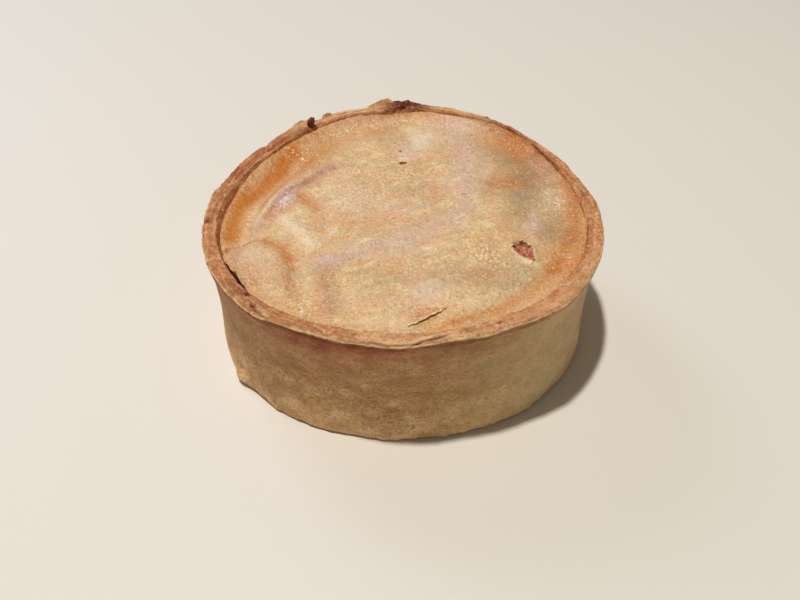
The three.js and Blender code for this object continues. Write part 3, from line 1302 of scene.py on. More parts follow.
    def locate(self, point: Vector, across: float) -> RimPlace:
        """Works out where a vertex lies.

        Args:
            point: a place on the plain crust.
            across: its share across the rim.

        Returns:
            The place, with the break of the flaky layers there.
        """
        form = self.form
        angle = plan_angle(point.x, point.y)
        drop = form.height + form.rim_rise(angle) - point.z
        width = form.crest.radius - form.mouth.radius * form.inside_scale(angle)
        on_rim = 1.0 - smoothstep(drop, self.rim_reach / 2.0, 2.0 * self.rim_reach)
        burnt = on_rim * hill(apart(angle, form.burnt_lump.angle - self.burnt_shift), form.burnt_lump.spread)
        layer, torn = 0.0, 0.0
        if on_rim > TRACE:
            lap = across * width + drop if across else -drop
            drawn = Vector((point.x / self.layer_stretch, point.y / self.layer_stretch, lap))
            smooth = grain(drawn, self.layer_size, shift=2.0)
            smooth += self.finer_layer * grain(drawn, self.layer_size / self.finer_size, shift=5.0)
            layer, torn = terrace(smooth, self.layer_treads)
        return RimPlace(point, across, angle, drop, width, on_rim, burnt, layer, torn)

    def relief(self, place: RimPlace) -> float:
        """How far the crust stands out from its plain form, along the normal.

        Args:
            place: a place on the case.

        Returns:
            The distance, less than 0 in pits.
        """
        point = place.point
        on_foot = hill(point.z, self.foot_reach)
        rise = place.on_rim * self.layer_height * place.layer
        for share, crumb in (
            (1.0, self.wall_dents),
            (place.on_rim, self.rim_crumb),
            (on_foot, self.foot_crumb),
            (place.burnt, self.burnt_crumb),
        ):
            if share > TRACE:
                rise += share * crumble(point, crumb)
        if place.on_rim > TRACE:
            rise -= sum(mark.depth * mark.share(place) for mark in self.marks)
            rise += sum(crack.lift * crack.raised(place) - crack.groove(place) for crack in self.cracks)
        if place.across == 0.0:
            undercut = self.undercut_depth * self.undercut_uneven.at(point)
            rise -= undercut * hill(place.drop - self.undercut_drop, self.undercut_reach)
            round_wall = math.radians(apart(place.angle, self.wall_crease_angle)) * self.form.waist.radius
            rise += self.wall_crease.at(round_wall, point.z)
        return rise

    def bake(self, place: RimPlace) -> float:
        """How far the crust is baked at a place: 0 for raw dough, 1 for burnt, with painted shade at the seam
        and on the wall, which darkens upwards, and painted light and shade on the inner slope.

        Args:
            place: a place on the case.

        Returns:
            The value, from about 0 to 1.
        """
        # Painted shade: the wall lighter at the foot and darker upwards
        wall = mix(self.foot_bake, self.wall_bake, self.wall_painted_shading.at(place.point.z))
        if place.on_rim < TRACE:
            return wall
        rim = self.rim_bake + swollen(self.rim_browner, place.angle)
        # Browning of the inner slope, with painted light and shade
        rim += swollen(self.slope_browning_and_painted_light, place.angle) * self.bake_across.at(place.across)
        rim += sum(mark.bake * mark.share(place) for mark in self.marks)
        rim += place.burnt * self.burnt_bake.at(place.point)
        # Painted shade where the lid meets the rim
        if place.across > 0.5:
            rim += self.seam_painted_shade * hill(place.point.z - self.lid.edge_height(place.angle), self.seam_reach)
        if place.across > 0.0:
            return rim
        return mix(rim, wall, self.wall_below.at(place.drop))

    def pale(self, place: RimPlace) -> float:
        """How much pale crumb shows at a place, on broken layers and at the foot, with a painted highlight
        along the lip.

        Args:
            place: a place on the case.

        Returns:
            The value, from 0 to 1.
        """
        pale = self.torn_pale * place.torn * place.on_rim
        top = place.on_rim * (1.0 - self.pale_across.at(place.across))
        pale += top * swollen(self.rim_pale, place.angle)
        pale += self.crack_pale * place.on_rim * sum(crack.raised(place) for crack in self.cracks)
        if place.across == 0.0:
            uneven = self.crumb_uneven.at(place.point)
            # Painted highlight along the lip's edge
            pale += self.lip_painted_highlight * uneven * hill(place.drop - self.lip_drop, self.lip_reach)
            pale += self.foot_pale * uneven * hill(place.point.z, self.foot_reach)
        return min(max(pale, 0.0), 1.0) * (1.0 - place.burnt)

    def blush(self, place: RimPlace) -> float:
        """How reddish the crust is at a place: under the lip in front, where it is partly painted shade, and
        in patches on the rim.

        Args:
            place: a place on the case.

        Returns:
            The value, from 0 to a little over 1.
        """
        patch = self.blush_patch.at(grain(place.point, self.blush_size, shift=8.0))
        redder = self.rim_redder.at(place.angle) * (1.0 - self.redder_across.at(place.across))
        blush = (self.rim_blush * patch + redder * mix(self.redder_least, 1.0, patch)) * place.on_rim
        blush += swollen(self.slope_blush, place.angle) * self.blush_across.at(place.across)
        if place.across == 0.0:
            # Reddish crust under the lip, partly painted shade
            wall = self.wall_blush_and_shade.at(place.angle)
            wall *= hill(place.drop - self.wall_blush_drop, self.wall_blush_reach)
            blush = mix(blush, wall, self.wall_below.at(place.drop))
        return blush

    def char(self, place: RimPlace) -> float:
        """How dark the crust is: charred on the burnt lump and at the seam, with painted shade in the cracks
        and in the pits of the marks, and a painted shadow line under the lip.

        Args:
            place: a place on the case.

        Returns:
            The value, from 0 to a little over 1.
        """
        crest = 1.0 - self.burnt_below.at(place.drop)
        char = self.burnt_char * place.burnt * crest * self.burnt_uneven.at(place.point)
        # Painted shade in the cracks and in the pits of the marks
        char += self.crack_painted_shade * place.on_rim * sum(crack.groove(place) for crack in self.cracks)
        char += self.mark_char_and_shade * place.on_rim * sum(mark.bake * mark.share(place) for mark in self.marks)
        if place.across > 0.0:
            on_seam = hill(place.across - self.seam_across, self.seam_width)
            return char + self.seam_char.at(place.angle) * on_seam
        # Painted shadow: a dark line under the lip
        uneven = self.line_uneven.at(place.point)
        return char + self.painted_lip_shadow * uneven * hill(place.drop - self.lip_line_drop, self.lip_line_reach)

    def damp(self, place: RimPlace) -> float:
        """How much light olive tint the crust takes at a place: on the wall at the right, below the lip,
        partly olive crust and partly painted light.
        """
        return self.right_wall_olive_and_painted_light.at(place.angle) * self.damp_below.at(place.drop)

    def build(self, material: bpy.types.Material) -> bpy.types.Object:
        """Models the case and dresses it.

        Args:
            material: its finish.

        Returns:
            The finished piece.
        """
        body = spun(self.stations(), self.doublings, self.soften)
        self.shape(body)
        body.normal_update()
        layer = body.verts.layers.float[ACROSS]
        places = [self.locate(vert.co.copy(), vert[layer]) for vert in body.verts]
        for vert, place in zip(body.verts, places):
            moved = vert.co + vert.normal * self.relief(place)
            vert.co = moved.x, moved.y, max(moved.z, 0.0)
        made = to_object(body, "baked_case", self.form.lobe)
        made.data.attributes.remove(made.data.attributes[ACROSS])
        for zone, read in (
            (Zone.BAKE, self.bake),
            (Zone.PALE_AND_HIGHLIGHT, self.pale),
            (Zone.BLUSH_AND_SHADE, self.blush),
            (Zone.DAMP_AND_PAINTED_LIGHT, self.damp),
            (Zone.CHAR_AND_SHADE, self.char),
        ):
            paint(made, zone, [read(place) for place in places])
        finish(made, Slot.CASE, material, "pastry_case")
        return made


# Lines that the lid follows at the left: the golden gutter, the ridge, the crease behind it and the hollow
GOLD_LINE = (
    (-27.8, 26.8),
    (-30.0, 23.2),
    (-30.6, 19.7),
    (-32.5, 16.0),
    (-34.7, 12.0),
    (-37.1, 8.5),
    (-38.8, 4.7),
    (-39.4, -1.1),
    (-39.4, -8.0),
)
RIDGE_LINE = ((-24.3, 11.6), (-26.4, 9.6), (-28.8, 7.0), (-31.0, 4.1), (-32.6, 0.0), (-34.0, -3.8))
CREASE_LINE = ((-19.4, 16.3), (-23.3, 10.6), (-25.9, 8.4), (-27.8, 6.0), (-29.6, 2.4), (-31.2, -1.6))
HOLLOW_LINE = ((-23.6, 6.0), (-22.0, 4.0), (-19.8, 1.2))

# What the oven and the egg did on the lid, place by place, with painted shade in creases, hollows and
# valleys, painted highlights on ridges, a painted sheen and painted glints
LID_MARKS = {
    Zone.BAKE: (
        Band(92.0, 34.0, 40.0, 42.0, 0.26),
        Band(5.0, 28.0, 38.0, 41.0, 0.2),
        Band(265.0, 20.0, 40.0, 41.5, 0.12),
        Band(332.0, 14.0, 39.8, 41.2, 0.3),
        Band(232.0, 16.0, 37.5, 41.5, 0.14),
        Streak(((22.0, 38.5), (29.5, 33.0), (35.0, 27.0), (38.5, 20.0)), 2.8, 0.4),
        Streak(GOLD_LINE, 2.8, 0.2),
        Band(156.0, 22.0, 36.5, 39.0, 0.14),
        Streak(((40.2, 18.0), (40.8, 6.0), (39.8, -5.0), (36.3, -14.0), (32.7, -20.5)), 1.9, 0.24),
        Streak(((32.7, -20.5), (27.0, -27.5), (20.0, -33.0), (11.0, -36.8)), 1.9, 0.2),
        # The hollow: orange-brown crust, partly painted shade
        Streak(HOLLOW_LINE, 1.3, 0.26),
        # Painted shade in the valley along the blister
        Streak(((-31.0, -10.5), (-26.5, -14.5), (-23.5, -21.0), (-23.0, -28.0)), 1.5, 0.24),
        # Painted shade in the crease behind the ridge, in these two lines
        Streak(CREASE_LINE, 0.7, 0.2),
        Streak(((-23.0, 11.6), (-25.8, 9.0), (-28.2, 6.8)), 1.1, 0.6),
        Streak(((-23.5, 19.0), (-27.4, 14.7), (-30.7, 10.1), (-33.8, 5.1)), 1.3, 0.1),
        # Painted shade in the crease above the blister
        Streak(((-41.0, -13.6), (-38.6, -11.6), (-35.5, -10.3), (-31.0, -10.5)), 0.6, 0.5),
        Streak(((-17.0, -21.5), (-16.0, -26.0), (-14.5, -33.0)), 2.2, 0.3),
        Oval(-29.3, -12.4, 3.6, 2.0, 10.0, 0.1),
        Oval(-10.5, -4.0, 5.0, 2.0, 5.0, 0.16),
        Oval(8.0, 7.0, 5.0, 3.0, 60.0, 0.12),
        Oval(-11.0, 32.0, 7.0, 2.4, 75.0, 0.08),
        Band(104.0, 14.0, 39.0, 41.5, 0.16),
        Streak(((-38.5, -12.5), (-35.5, -18.5), (-32.0, -23.5)), 1.6, 0.05),
        Oval(-33.0, -20.0, 7.0, 5.0, -60.0, 0.05),
        Oval(31.0, 24.0, 12.0, 7.0, -50.0, 0.5),
        Oval(25.0, 10.5, 6.0, 4.0, 0.0, 0.28),
        Oval(37.5, -8.0, 8.0, 2.8, 75.0, 0.36),
        Oval(9.0, -37.6, 6.0, 1.8, 20.0, 0.24),
    ),
    Zone.GLAZE: (
        Streak(GOLD_LINE, 2.3, 0.9),
        Streak(((-22.5, 20.5), (-27.0, 13.7), (-30.2, 9.1), (-33.0, 4.1)), 1.6, 0.4),
        Streak(((-38.5, -12.5), (-35.5, -18.5), (-32.0, -23.5)), 1.8, 0.2),
        Band(152.0, 20.0, 36.5, 39.0, 0.16),
        Band(332.0, 14.0, 39.0, 40.8, 0.4),
        Band(129.0, 12.0, 39.0, 40.6, 0.35),
        Streak(((40.2, 16.0), (40.8, 6.0), (39.8, -5.0), (36.3, -14.0), (32.7, -20.5)), 1.7, 0.55),
        Streak(((32.7, -20.5), (27.0, -27.5), (20.0, -33.0), (11.0, -36.8)), 1.6, 0.36),
        Oval(-21.0, 27.0, 9.0, 5.0, 45.0, 0.6),
        Oval(-23.5, 22.0, 4.0, 3.0, 50.0, 0.35),
        Oval(-11.0, 36.0, 9.0, 4.0, 15.0, 0.22),
        Streak(((-31.0, -11.4), (-27.0, -13.4), (-24.4, -18.0)), 1.7, 0.5),
        Oval(-30.0, -22.0, 7.0, 5.0, -30.0, 0.2),
        Oval(27.0, 12.0, 4.0, 3.0, 0.0, 0.5),
        Oval(30.0, 28.5, 9.0, 4.5, -50.0, 0.85),
        Oval(-6.0, 37.5, 8.0, 3.0, 10.0, 0.2),
        Oval(20.0, -20.0, 4.0, 3.0, 0.0, 0.15),
        Streak(HOLLOW_LINE, 1.5, 0.42),
    ),
    Zone.GLOSS_AND_PAINTED_GLINT: (
        # Places of gloss with painted glints
        Streak(((-28.4, 27.2), (-25.0, 25.0), (-21.7, 25.0)), 1.5, 0.75),
        Oval(-32.3, 21.5, 2.0, 1.4, 60.0, 0.7),
        Oval(-35.8, -2.4, 2.4, 1.2, 75.0, 0.9),
        Oval(-21.2, -32.6, 2.5, 2.5, 0.0, 1.0),
        Oval(35.5, 6.0, 5.0, 2.0, 100.0, 1.0),
        Oval(20.0, -16.0, 8.0, 5.0, 10.0, 0.5),
        Oval(-8.0, 8.0, 9.0, 8.0, 0.0, 0.3),
        Oval(-28.0, 4.4, 3.2, 2.0, 62.0, 0.6),
        Streak(((-24.0, 31.5), (-14.0, 37.0), (-4.0, 39.6), (7.0, 39.6), (20.0, 35.5)), 1.6, 0.25),
        Streak(GOLD_LINE, 2.4, -0.22),
    ),
    Zone.DAMP_AND_PAINTED_LIGHT: (
        Oval(28.0, 20.0, 12.0, 7.0, -60.0, 0.65),
        Oval(29.0, 6.0, 10.0, 4.5, 80.0, 0.85),
        Oval(36.0, 6.0, 14.0, 3.0, 95.0, 0.3),
        Oval(21.0, -24.0, 10.0, 5.0, 30.0, 0.15),
        Oval(33.5, -7.0, 5.0, 3.2, 70.0, 0.8),
        Oval(15.0, -22.0, 8.0, 3.5, 10.0, 0.38),
        Oval(22.0, 8.0, 5.0, 4.0, 0.0, 0.3),
        Oval(23.0, -26.0, 5.0, 3.0, 50.0, 0.5),
        Oval(23.0, -20.0, 6.0, 3.0, 0.0, 0.25),
        Oval(-23.5, -25.0, 6.0, 2.4, -70.0, 0.3),
        Streak(((-17.0, -21.5), (-16.0, -26.0), (-14.5, -33.0)), 2.4, 0.55),
        Oval(-6.0, -14.0, 5.0, 3.0, 25.0, 0.25),
        Oval(-3.0, 31.0, 3.5, 4.0, 90.0, 0.4),
        Oval(-3.0, 38.0, 5.0, 4.0, 0.0, 0.2),
        Oval(38.0, -5.0, 5.0, 2.0, 90.0, 0.35),
        Oval(0.0, -24.0, 9.0, 4.0, 0.0, 0.34),
        Oval(3.0, 9.0, 6.0, 4.0, 0.0, 0.2),
    ),
    Zone.BLUSH_AND_SHADE: (
        # Painted shade: the mauve crease beside the ridge, in these two lines
        Streak(((-18.6, 17.4), (-23.2, 11.6), (-25.8, 8.8), (-28.2, 6.4)), 1.8, 1.0),
        Streak(((-29.6, 2.0), (-31.0, -1.6), (-33.0, -6.0)), 1.8, 0.7),
        Oval(-15.5, 19.0, 5.0, 2.6, 20.0, 0.5),
        Oval(36.5, 19.0, 6.0, 3.0, -60.0, 0.5),
        Oval(26.6, -12.4, 1.6, 0.8, -20.0, 0.6),
        Oval(-33.0, -18.0, 7.0, 4.0, -60.0, 0.3),
        # Mauve ground of the painted sheen patch
        Oval(-27.6, 4.8, 4.2, 2.6, 62.0, 0.7),
        Band(152.0, 20.0, 39.0, 40.6, 0.3),
        Band(104.0, 12.0, 38.5, 41.5, 0.7),
        Band(262.0, 40.0, 39.5, 41.8, 0.3),
    ),
    Zone.PAINTED_SHEEN: (
        # Painted reflection of cool light on smoother places
        Oval(-28.0, 4.4, 3.0, 1.8, 62.0, 0.95),
        Oval(-17.2, -18.6, 3.2, 2.2, 30.0, 0.4),
        Streak(((-15.0, -17.5), (-6.0, -14.0), (3.0, -9.5), (11.0, -5.0), (15.0, 2.0)), 3.0, 0.36),
        Oval(3.0, -16.0, 4.0, 2.6, 20.0, 0.25),
        Streak(((15.5, 10.0), (16.2, 15.0), (16.5, 22.0), (14.0, 38.0)), 4.5, 0.5),
        Oval(5.0, 31.0, 5.5, 3.4, 75.0, 0.7),
        Oval(2.0, 24.0, 3.4, 3.0, 0.0, 0.45),
        Oval(6.0, -27.8, 4.5, 3.0, 10.0, 0.45),
        Oval(30.6, -4.0, 4.5, 1.8, 75.0, 0.6),
        Oval(0.0, 2.0, 14.0, 10.0, 0.0, 0.2),
        Oval(-14.0, 5.0, 4.0, 4.0, 0.0, 0.2),
    ),
    Zone.PALE_AND_HIGHLIGHT: (
        # Painted highlight along the ridge
        Streak(RIDGE_LINE, 1.0, 0.4),
        # Painted highlight on the ridge beside the blister
        Streak(((-26.5, -4.0), (-23.0, -8.5), (-20.0, -13.0)), 1.9, 0.85),
        # Painted reflection on the bump at the back
        Oval(5.0, 31.0, 5.0, 2.8, 75.0, 0.65),
        Oval(-18.0, 12.0, 4.0, 3.0, 40.0, 0.2),
        Oval(-13.0, 29.0, 6.0, 4.0, 0.0, 0.2),
        # Painted reflection on the wrinkles at the front
        Oval(5.0, -29.0, 5.0, 3.0, 10.0, 0.3),
        Oval(-10.0, -29.0, 5.0, 3.5, -20.0, 0.2),
        # Pale torn edge of the tear, with a painted highlight
        Oval(27.6, -18.6, 2.4, 1.0, -10.0, 0.9),
        Oval(-7.0, -36.6, 8.0, 1.8, 0.0, 0.3),
        # Painted glints in the dip at the right
        Oval(35.0, 7.0, 3.4, 1.8, 100.0, 0.45),
        Oval(-10.0, 3.0, 5.0, 7.0, 0.0, 0.25),
        # Painted highlight on the blister's crown
        Oval(-32.0, -18.0, 6.0, 4.0, -60.0, 0.35),
        Oval(15.0, -32.0, 4.0, 2.0, 25.0, 0.2),
    ),
    Zone.CHAR_AND_SHADE: (
        # Painted shadow in the upper end of the tear
        Oval(25.6, -12.0, 0.9, 0.8, 0.0, 0.7),
    ),
}


@dataclass
class PastryLid:
    """The lid: a lumpy, glazed plateau with a gutter round it, torn at the right."""

    form: LidForm = LidForm()
    doublings: int = 5
    lumps: Layers = ((9.0, 0.34), (4.2, 0.22), (1.7, 0.12), (0.8, 0.06))
    edge_crumb: Layers = ((2.6, 0.18), (1.0, 0.14))
    edge_reach: float = 2.2
    seam_gap: float = 0.02
    left_seam: Swell = Swell(178.0, 30.0, 0.12)
    slit_ragged: Uneven = Uneven(1.1, 0.8, 1.0, 7.0)
    slit_step: float = 3.0
    edge_roll: float = 0.35
    edge_roll_reach: float = 0.4
    edge_lift: Swell = Swell(50.0, 20.0, 0.45)
    wrinkle_turn: float = 24.0
    wrinkle_stretch: float = 5.0
    wrinkle_size: float = 1.5
    wrinkle_height: float = 0.07
    wrinkle_width: float = 0.12
    wrinkled_size: float = 7.0
    wrinkled: Fade = Fade(-0.1, 0.3)
    ridges: tuple[Streak, ...] = (
        Streak(RIDGE_LINE, 1.2, 0.5),
        Streak(((-26.5, -4.0), (-23.0, -8.5), (-20.0, -13.0)), 1.8, 0.45),
        Streak(((11.0, 1.0), (14.5, 8.0), (15.0, 20.0), (12.0, 34.0)), 3.0, 0.25),
        Streak(((31.3, -1.0), (31.0, -5.0), (29.5, -9.0)), 1.0, 0.2),
        Streak(CREASE_LINE, 0.9, -0.5),
        Streak(HOLLOW_LINE, 1.6, -0.5),
        Streak(((-31.0, -10.5), (-26.5, -14.5), (-23.5, -21.0), (-23.0, -28.0)), 1.8, -0.5),
        Streak(((-41.0, -13.6), (-38.6, -11.6), (-35.5, -10.3), (-31.0, -10.5)), 0.6, -0.7),
        Streak(((4.6, -25.6), (7.2, -27.2), (9.6, -27.4)), 0.35, -0.16),
    )
    tear_lip: float = 0.35
    tear_lip_width: float = 0.18
    tear_lip_place: float = 1.15
    tear_lip_uneven: Uneven = Uneven(0.6, 1.0, 1.1, 3.0)
    plug_sides: int = 72
    plug_depth: float = 5.0
    plug_waves: tuple[tuple[float, float, float], ...] = (
        (3.0, 1.0, 1.0),
        (5.0, 0.6, 0.0),
        (17.0, 0.5, 0.0),
        (29.0, 0.3, 0.0),
    )
    specks: tuple[Mound, ...] = (
        Mound(-0.3, 25.5, 0.36, 0.5),
        Mound(14.6, 6.3, 0.3, 0.4),
        Mound(3.1, 8.7, 0.25, 0.3),
        Mound(16.3, 11.2, 0.25, 0.25),
        Mound(18.6, 33.9, 0.3, 0.3),
        Mound(5.2, 26.0, 0.25, 0.25),
    )
    speck_char: float = 2.6
    # Some baking everywhere, and gloss with painted glints everywhere on the lid
    plain: dict[Zone, float] = field(default_factory=lambda: {Zone.BAKE: 0.2, Zone.GLOSS_AND_PAINTED_GLINT: 0.26})
    # Painted shading of the lumps: darker in their hollows, lighter on their tops
    painted_shading_sizes: int = 3
    painted_lump_shading: float = 0.35
    marks: dict[Zone, tuple[Band | Oval | Streak, ...]] = field(default_factory=lambda: LID_MARKS)

    def stations(self) -> list[Station]:
        """Section of the disc, as shares of its radius, with height 0 on its lower face and 1 on its upper.

        Returns:
            The corners in order.
        """
        return [
            Station(0.0, 0.0),
            Station(1.0, 0.0, 7),
            Station(1.0, 1.0, 4),
            Station(0.9, 1.0, 15),
            Station(0.4, 1.0, 62),
            Station(0.0, 1.0, 26),
        ]

    def edge_radius(self, level: float, angle: float) -> float:
        """Plan radius of the lid's edge.

        Args:
            level: 0 at the lower face, 1 at the upper.
            angle: plan angle.

        Returns:
            Radius before the three-lobed outline scales it.
        """
        height = self.form.edge_height(angle) - (1.0 - level) * self.form.thickness
        ragged = self.slit_ragged.at(Vector((angle / self.slit_step, 0.0, 0.0)))
        gap = self.seam_gap + self.form.slit.at(angle) * ragged + self.left_seam.at(angle)
        return self.form.case.inner_radius(height, angle) - gap

    def lumpiness(self, x: float, y: float, sizes: int) -> float:
        """Height of the lumps at a place, from the coarsest to the given number of sizes."""
        return crumble(Vector((x, y, 0.0)), self.lumps[:sizes])

    def relief(self, x: float, y: float, share: float) -> float:
        """Fine relief of the upper face.

        Args:
            x: place on the lid.
            y: place on the lid.
            share: share of the way from the middle to the edge.

        Returns:
            Height that it adds.
        """
        form = self.form
        point = Vector((x, y, 0.0))
        rise = self.lumpiness(x, y, len(self.lumps))
        drawn = Matrix.Rotation(math.radians(-self.wrinkle_turn), 3, "Z") @ point
        drawn.x /= self.wrinkle_stretch
        where = self.wrinkled.at(grain(point, self.wrinkled_size, shift=11.0))
        wrinkle = hill(grain(drawn, self.wrinkle_size, shift=3.0), self.wrinkle_width)
        rise -= self.wrinkle_height * where * wrinkle
        from_edge = (1.0 - share) * form.case.mouth.radius
        at_edge = hill(from_edge, self.edge_reach)
        if at_edge > TRACE:
            rise += at_edge * crumble(point, self.edge_crumb)
            rise += self.edge_lift.at(plan_angle(x, y)) * at_edge
            rise -= self.edge_roll * hill(from_edge, self.edge_roll_reach)
        rise += sum(ridge.at(x, y) for ridge in self.ridges)
        rise -= sum(speck.at(x, y) for speck in self.specks)
        lip = hill(form.tear.distance(x, y) - self.tear_lip_place, self.tear_lip_width)
        return rise + self.tear_lip * lip * self.tear_lip_uneven.at(point)

    def shape(self, body: bmesh.types.BMesh) -> None:
        """Lays the disc in the case.

        Args:
            body: the spun section in shares, which is moved.
        """
        form = self.form
        for vert in body.verts:
            angle = plan_angle(vert.co.x, vert.co.y)
            share = math.hypot(vert.co.x, vert.co.y)
            level = vert.co.z
            radius = share * self.edge_radius(level, angle) * form.case.plan_scale(angle)
            x, y = around(radius, angle)
            height = form.under(x, y)
            if level > 0.0:
                height = mix(height, form.top(x, y) + self.relief(x, y, share), level)
            vert.co = x, y, height

    def opening(self, oval: Oval, ragged: float, name: str) -> bpy.types.Object:
        """Models the plug that cuts an opening through the lid.

        Args:
            oval: place and size of the opening.
            ragged: how uneven its outline is.
            name: name of the plug.

        Returns:
            A closed upright plug.
        """
        form = self.form
        body = bmesh.new()
        depth = self.plug_depth * form.thickness
        bmesh.ops.create_cone(
            body, cap_ends=True, segments=self.plug_sides, radius1=1.0, radius2=1.0, depth=depth
        )
        for vert in body.verts:
            turn = math.atan2(vert.co.y, vert.co.x)
            waves = sum(height * math.sin(count * turn + start) for count, height, start in self.plug_waves)
            ripple = 1.0 + ragged * waves
            vert.co.x *= oval.along * ripple
            vert.co.y *= oval.across * ripple
        turned = Matrix.Rotation(math.radians(oval.turn), 4, "Z")
        settle = Matrix.Translation((oval.x, oval.y, form.case.height)) @ turned
        bmesh.ops.transform(body, matrix=settle, verts=body.verts[:])
        return to_object(body, name, form.case.lobe)

    def read(self, zone: Zone, point: Vector) -> float:
        """Value of a zone at a place.

        Args:
            zone: what is asked.
            point: a place on the lid.

        Returns:
            The value, from about 0 to 1.
        """
        value = self.plain.get(zone, 0.0) + sum(mark.at(point.x, point.y) for mark in self.marks[zone])
        # Painted shading of the lumps: darker in their hollows, lighter on their tops
        if zone is Zone.BAKE:
            value -= self.painted_lump_shading * self.lumpiness(point.x, point.y, self.painted_shading_sizes)
        if zone is Zone.CHAR_AND_SHADE:
            value += self.speck_char * sum(speck.at(point.x, point.y) for speck in self.specks)
        return value

    def build(self, material: bpy.types.Material) -> bpy.types.Object:
        """Models the lid, cuts its openings and dresses it.

        Args:
            material: its finish.

        Returns:
            The finished piece.
        """
        form = self.form
        body = spun(self.stations(), self.doublings)
        self.shape(body)
        bmesh.ops.recalc_face_normals(body, faces=body.faces[:])
        made = to_object(body, "glazed_lid", form.case.lobe)
        carve(made, self.opening(form.tear, form.tear_ragged, "tear_plug"))
        carve(made, self.opening(form.vent, form.vent_ragged, "vent_plug"))
        made.data.set_sharp_from_angle(angle=SHARP_ANGLE)
        points = plan_points(made, form.case.lobe)
        for zone in Zone:
            paint(made, zone, [self.read(zone, point) for point in points])
        finish(made, Slot.LID, material, "pastry_lid")
        return made


@dataclass
class LidFlake:
    """The thin flake at the front: its back lies in the lid, and its front edge lifts and thins out."""

    lid: PastryLid = field(default_factory=PastryLid)
    root: Vector = Vector((1.0, -38.4)).freeze()
    tip: Vector = Vector((9.1, -33.1)).freeze()
    back: Vector = Vector((0.7, -34.2)).freeze()
    thickness: float = 0.7
    lift: float = 0.42
    proud: float = 0.3
    edge: float = 0.24
    cuts: int = 23
    crumb: Layers = ((1.6, 0.12), (0.7, 0.06))
    ragged: float = 0.35
    bow: float = 0.15
    arch: float = 0.6
    arch_from: Fade = Fade(0.0, 0.3)
    thick_from: Fade = Fade(0.0, 0.6)
    bake: Uneven = Uneven(0.36, 0.12, 2.0, 5.0)
    # Gloss with painted glints on the flake
    glint: float = 0.3
    blush: float = 0.2
    glaze: float = 0.26
    root_pale: float = 0.55
    root_part: float = 3.0
    # Painted highlight along the lifted front edge
    edge_painted_highlight: float = 0.8
    edge_reach: float = 0.3

    def level(self, plan: Vector) -> float:
        """Height of the lumpy lid at a place."""
        return self.lid.form.top(plan.x, plan.y) + self.lid.lumpiness(plan.x, plan.y, len(self.lid.lumps))

    @property
    def inward(self) -> Vector:
        """Plan direction from the front edge to the back."""
        edge = self.tip - self.root
        return Vector((-edge.y, edge.x)).normalized()

    def behind(self, plan: Vector) -> float:
        """Distance of a place behind the straight line from root to tip."""
        return (plan - self.root).dot(self.inward)

    def bowed(self, plan: Vector) -> float:
        """Share of the bow of the edges beside a place.

        Args:
            plan: a place on the flake.

        Returns:
            The share, 0 at root and tip.
        """
        edge = self.tip - self.root
        along = min(max((plan - self.root).dot(edge) / edge.length_squared, 0.0), 1.0)
        return math.sin(math.pi * along)

    def build(self, material: bpy.types.Material) -> bpy.types.Object:
        """Models the flake and dresses it.

        Args:
            material: its finish.

        Returns:
            The finished piece.
        """
        body = bmesh.new()
        corners = [body.verts.new((*corner, 0.0)) for corner in (self.back, self.root, self.tip)]
        body.faces.new(corners)
        bmesh.ops.subdivide_edges(body, edges=body.edges[:], cuts=self.cuts, use_grid_fill=True)
        grown = bmesh.ops.extrude_face_region(body, geom=body.faces[:])["geom"]
        raised = [item for item in grown if isinstance(item, bmesh.types.BMVert)]
        bmesh.ops.translate(body, verts=raised, vec=(0.0, 0.0, 1.0))
        depth = self.behind(self.back)
        for vert in body.verts:
            plan = vert.co.xy
            share = min(max(self.behind(plan) / depth, 0.0), 1.0)
            bowed = self.bowed(plan)
            lift = self.lift * bowed * (1.0 - share)
            ragged = self.ragged * grain(Vector((plan.x, 0.0, 2.0)), 1.0)
            shift = (ragged - self.bow * bowed) * (1.0 - share)
            shift += self.arch * bowed * self.arch_from.at(share)
            moved = plan + shift * self.inward
            level = self.level(moved)
            top = level + self.proud + lift + crumble(vert.co, self.crumb)
            under = mix(top - self.edge, level - self.thickness, self.thick_from.at(share))
            vert.co = moved.x, moved.y, mix(under, top, vert.co.z)
        bmesh.ops.recalc_face_normals(body, faces=body.faces[:])
        lobe = self.lid.form.case.lobe
        made = to_object(body, "lifted_flake", lobe)
        made.data.set_sharp_from_angle(angle=SHARP_ANGLE)
        points = plan_points(made, lobe)
        paint(made, Zone.BAKE, [self.bake.at(point) for point in points])
        for zone, value in ((Zone.GLOSS_AND_PAINTED_GLINT, self.glint), (Zone.BLUSH_AND_SHADE, self.blush), (Zone.GLAZE, self.glaze)):
            paint(made, zone, [value] * len(points))
        # Pale end at the root, and the painted highlight along the front edge
        pale = [
            self.root_pale * smoothstep(point.x, self.tip.x / self.root_part, self.root.x)
            + self.edge_painted_highlight * hill(self.behind(point.xy) + self.bow * self.bowed(point.xy), self.edge_reach)
            for point in points
        ]
        paint(made, Zone.PALE_AND_HIGHLIGHT, pale)
        finish(made, Slot.LID, material)
        return made


@dataclass(frozen=True)
class Flake:
    """A thin flake of pastry that stands up from the rim."""

    angle: float
    half_length: float
    height: float
    thickness: float
    lean: float
    bake: float
    skew: float


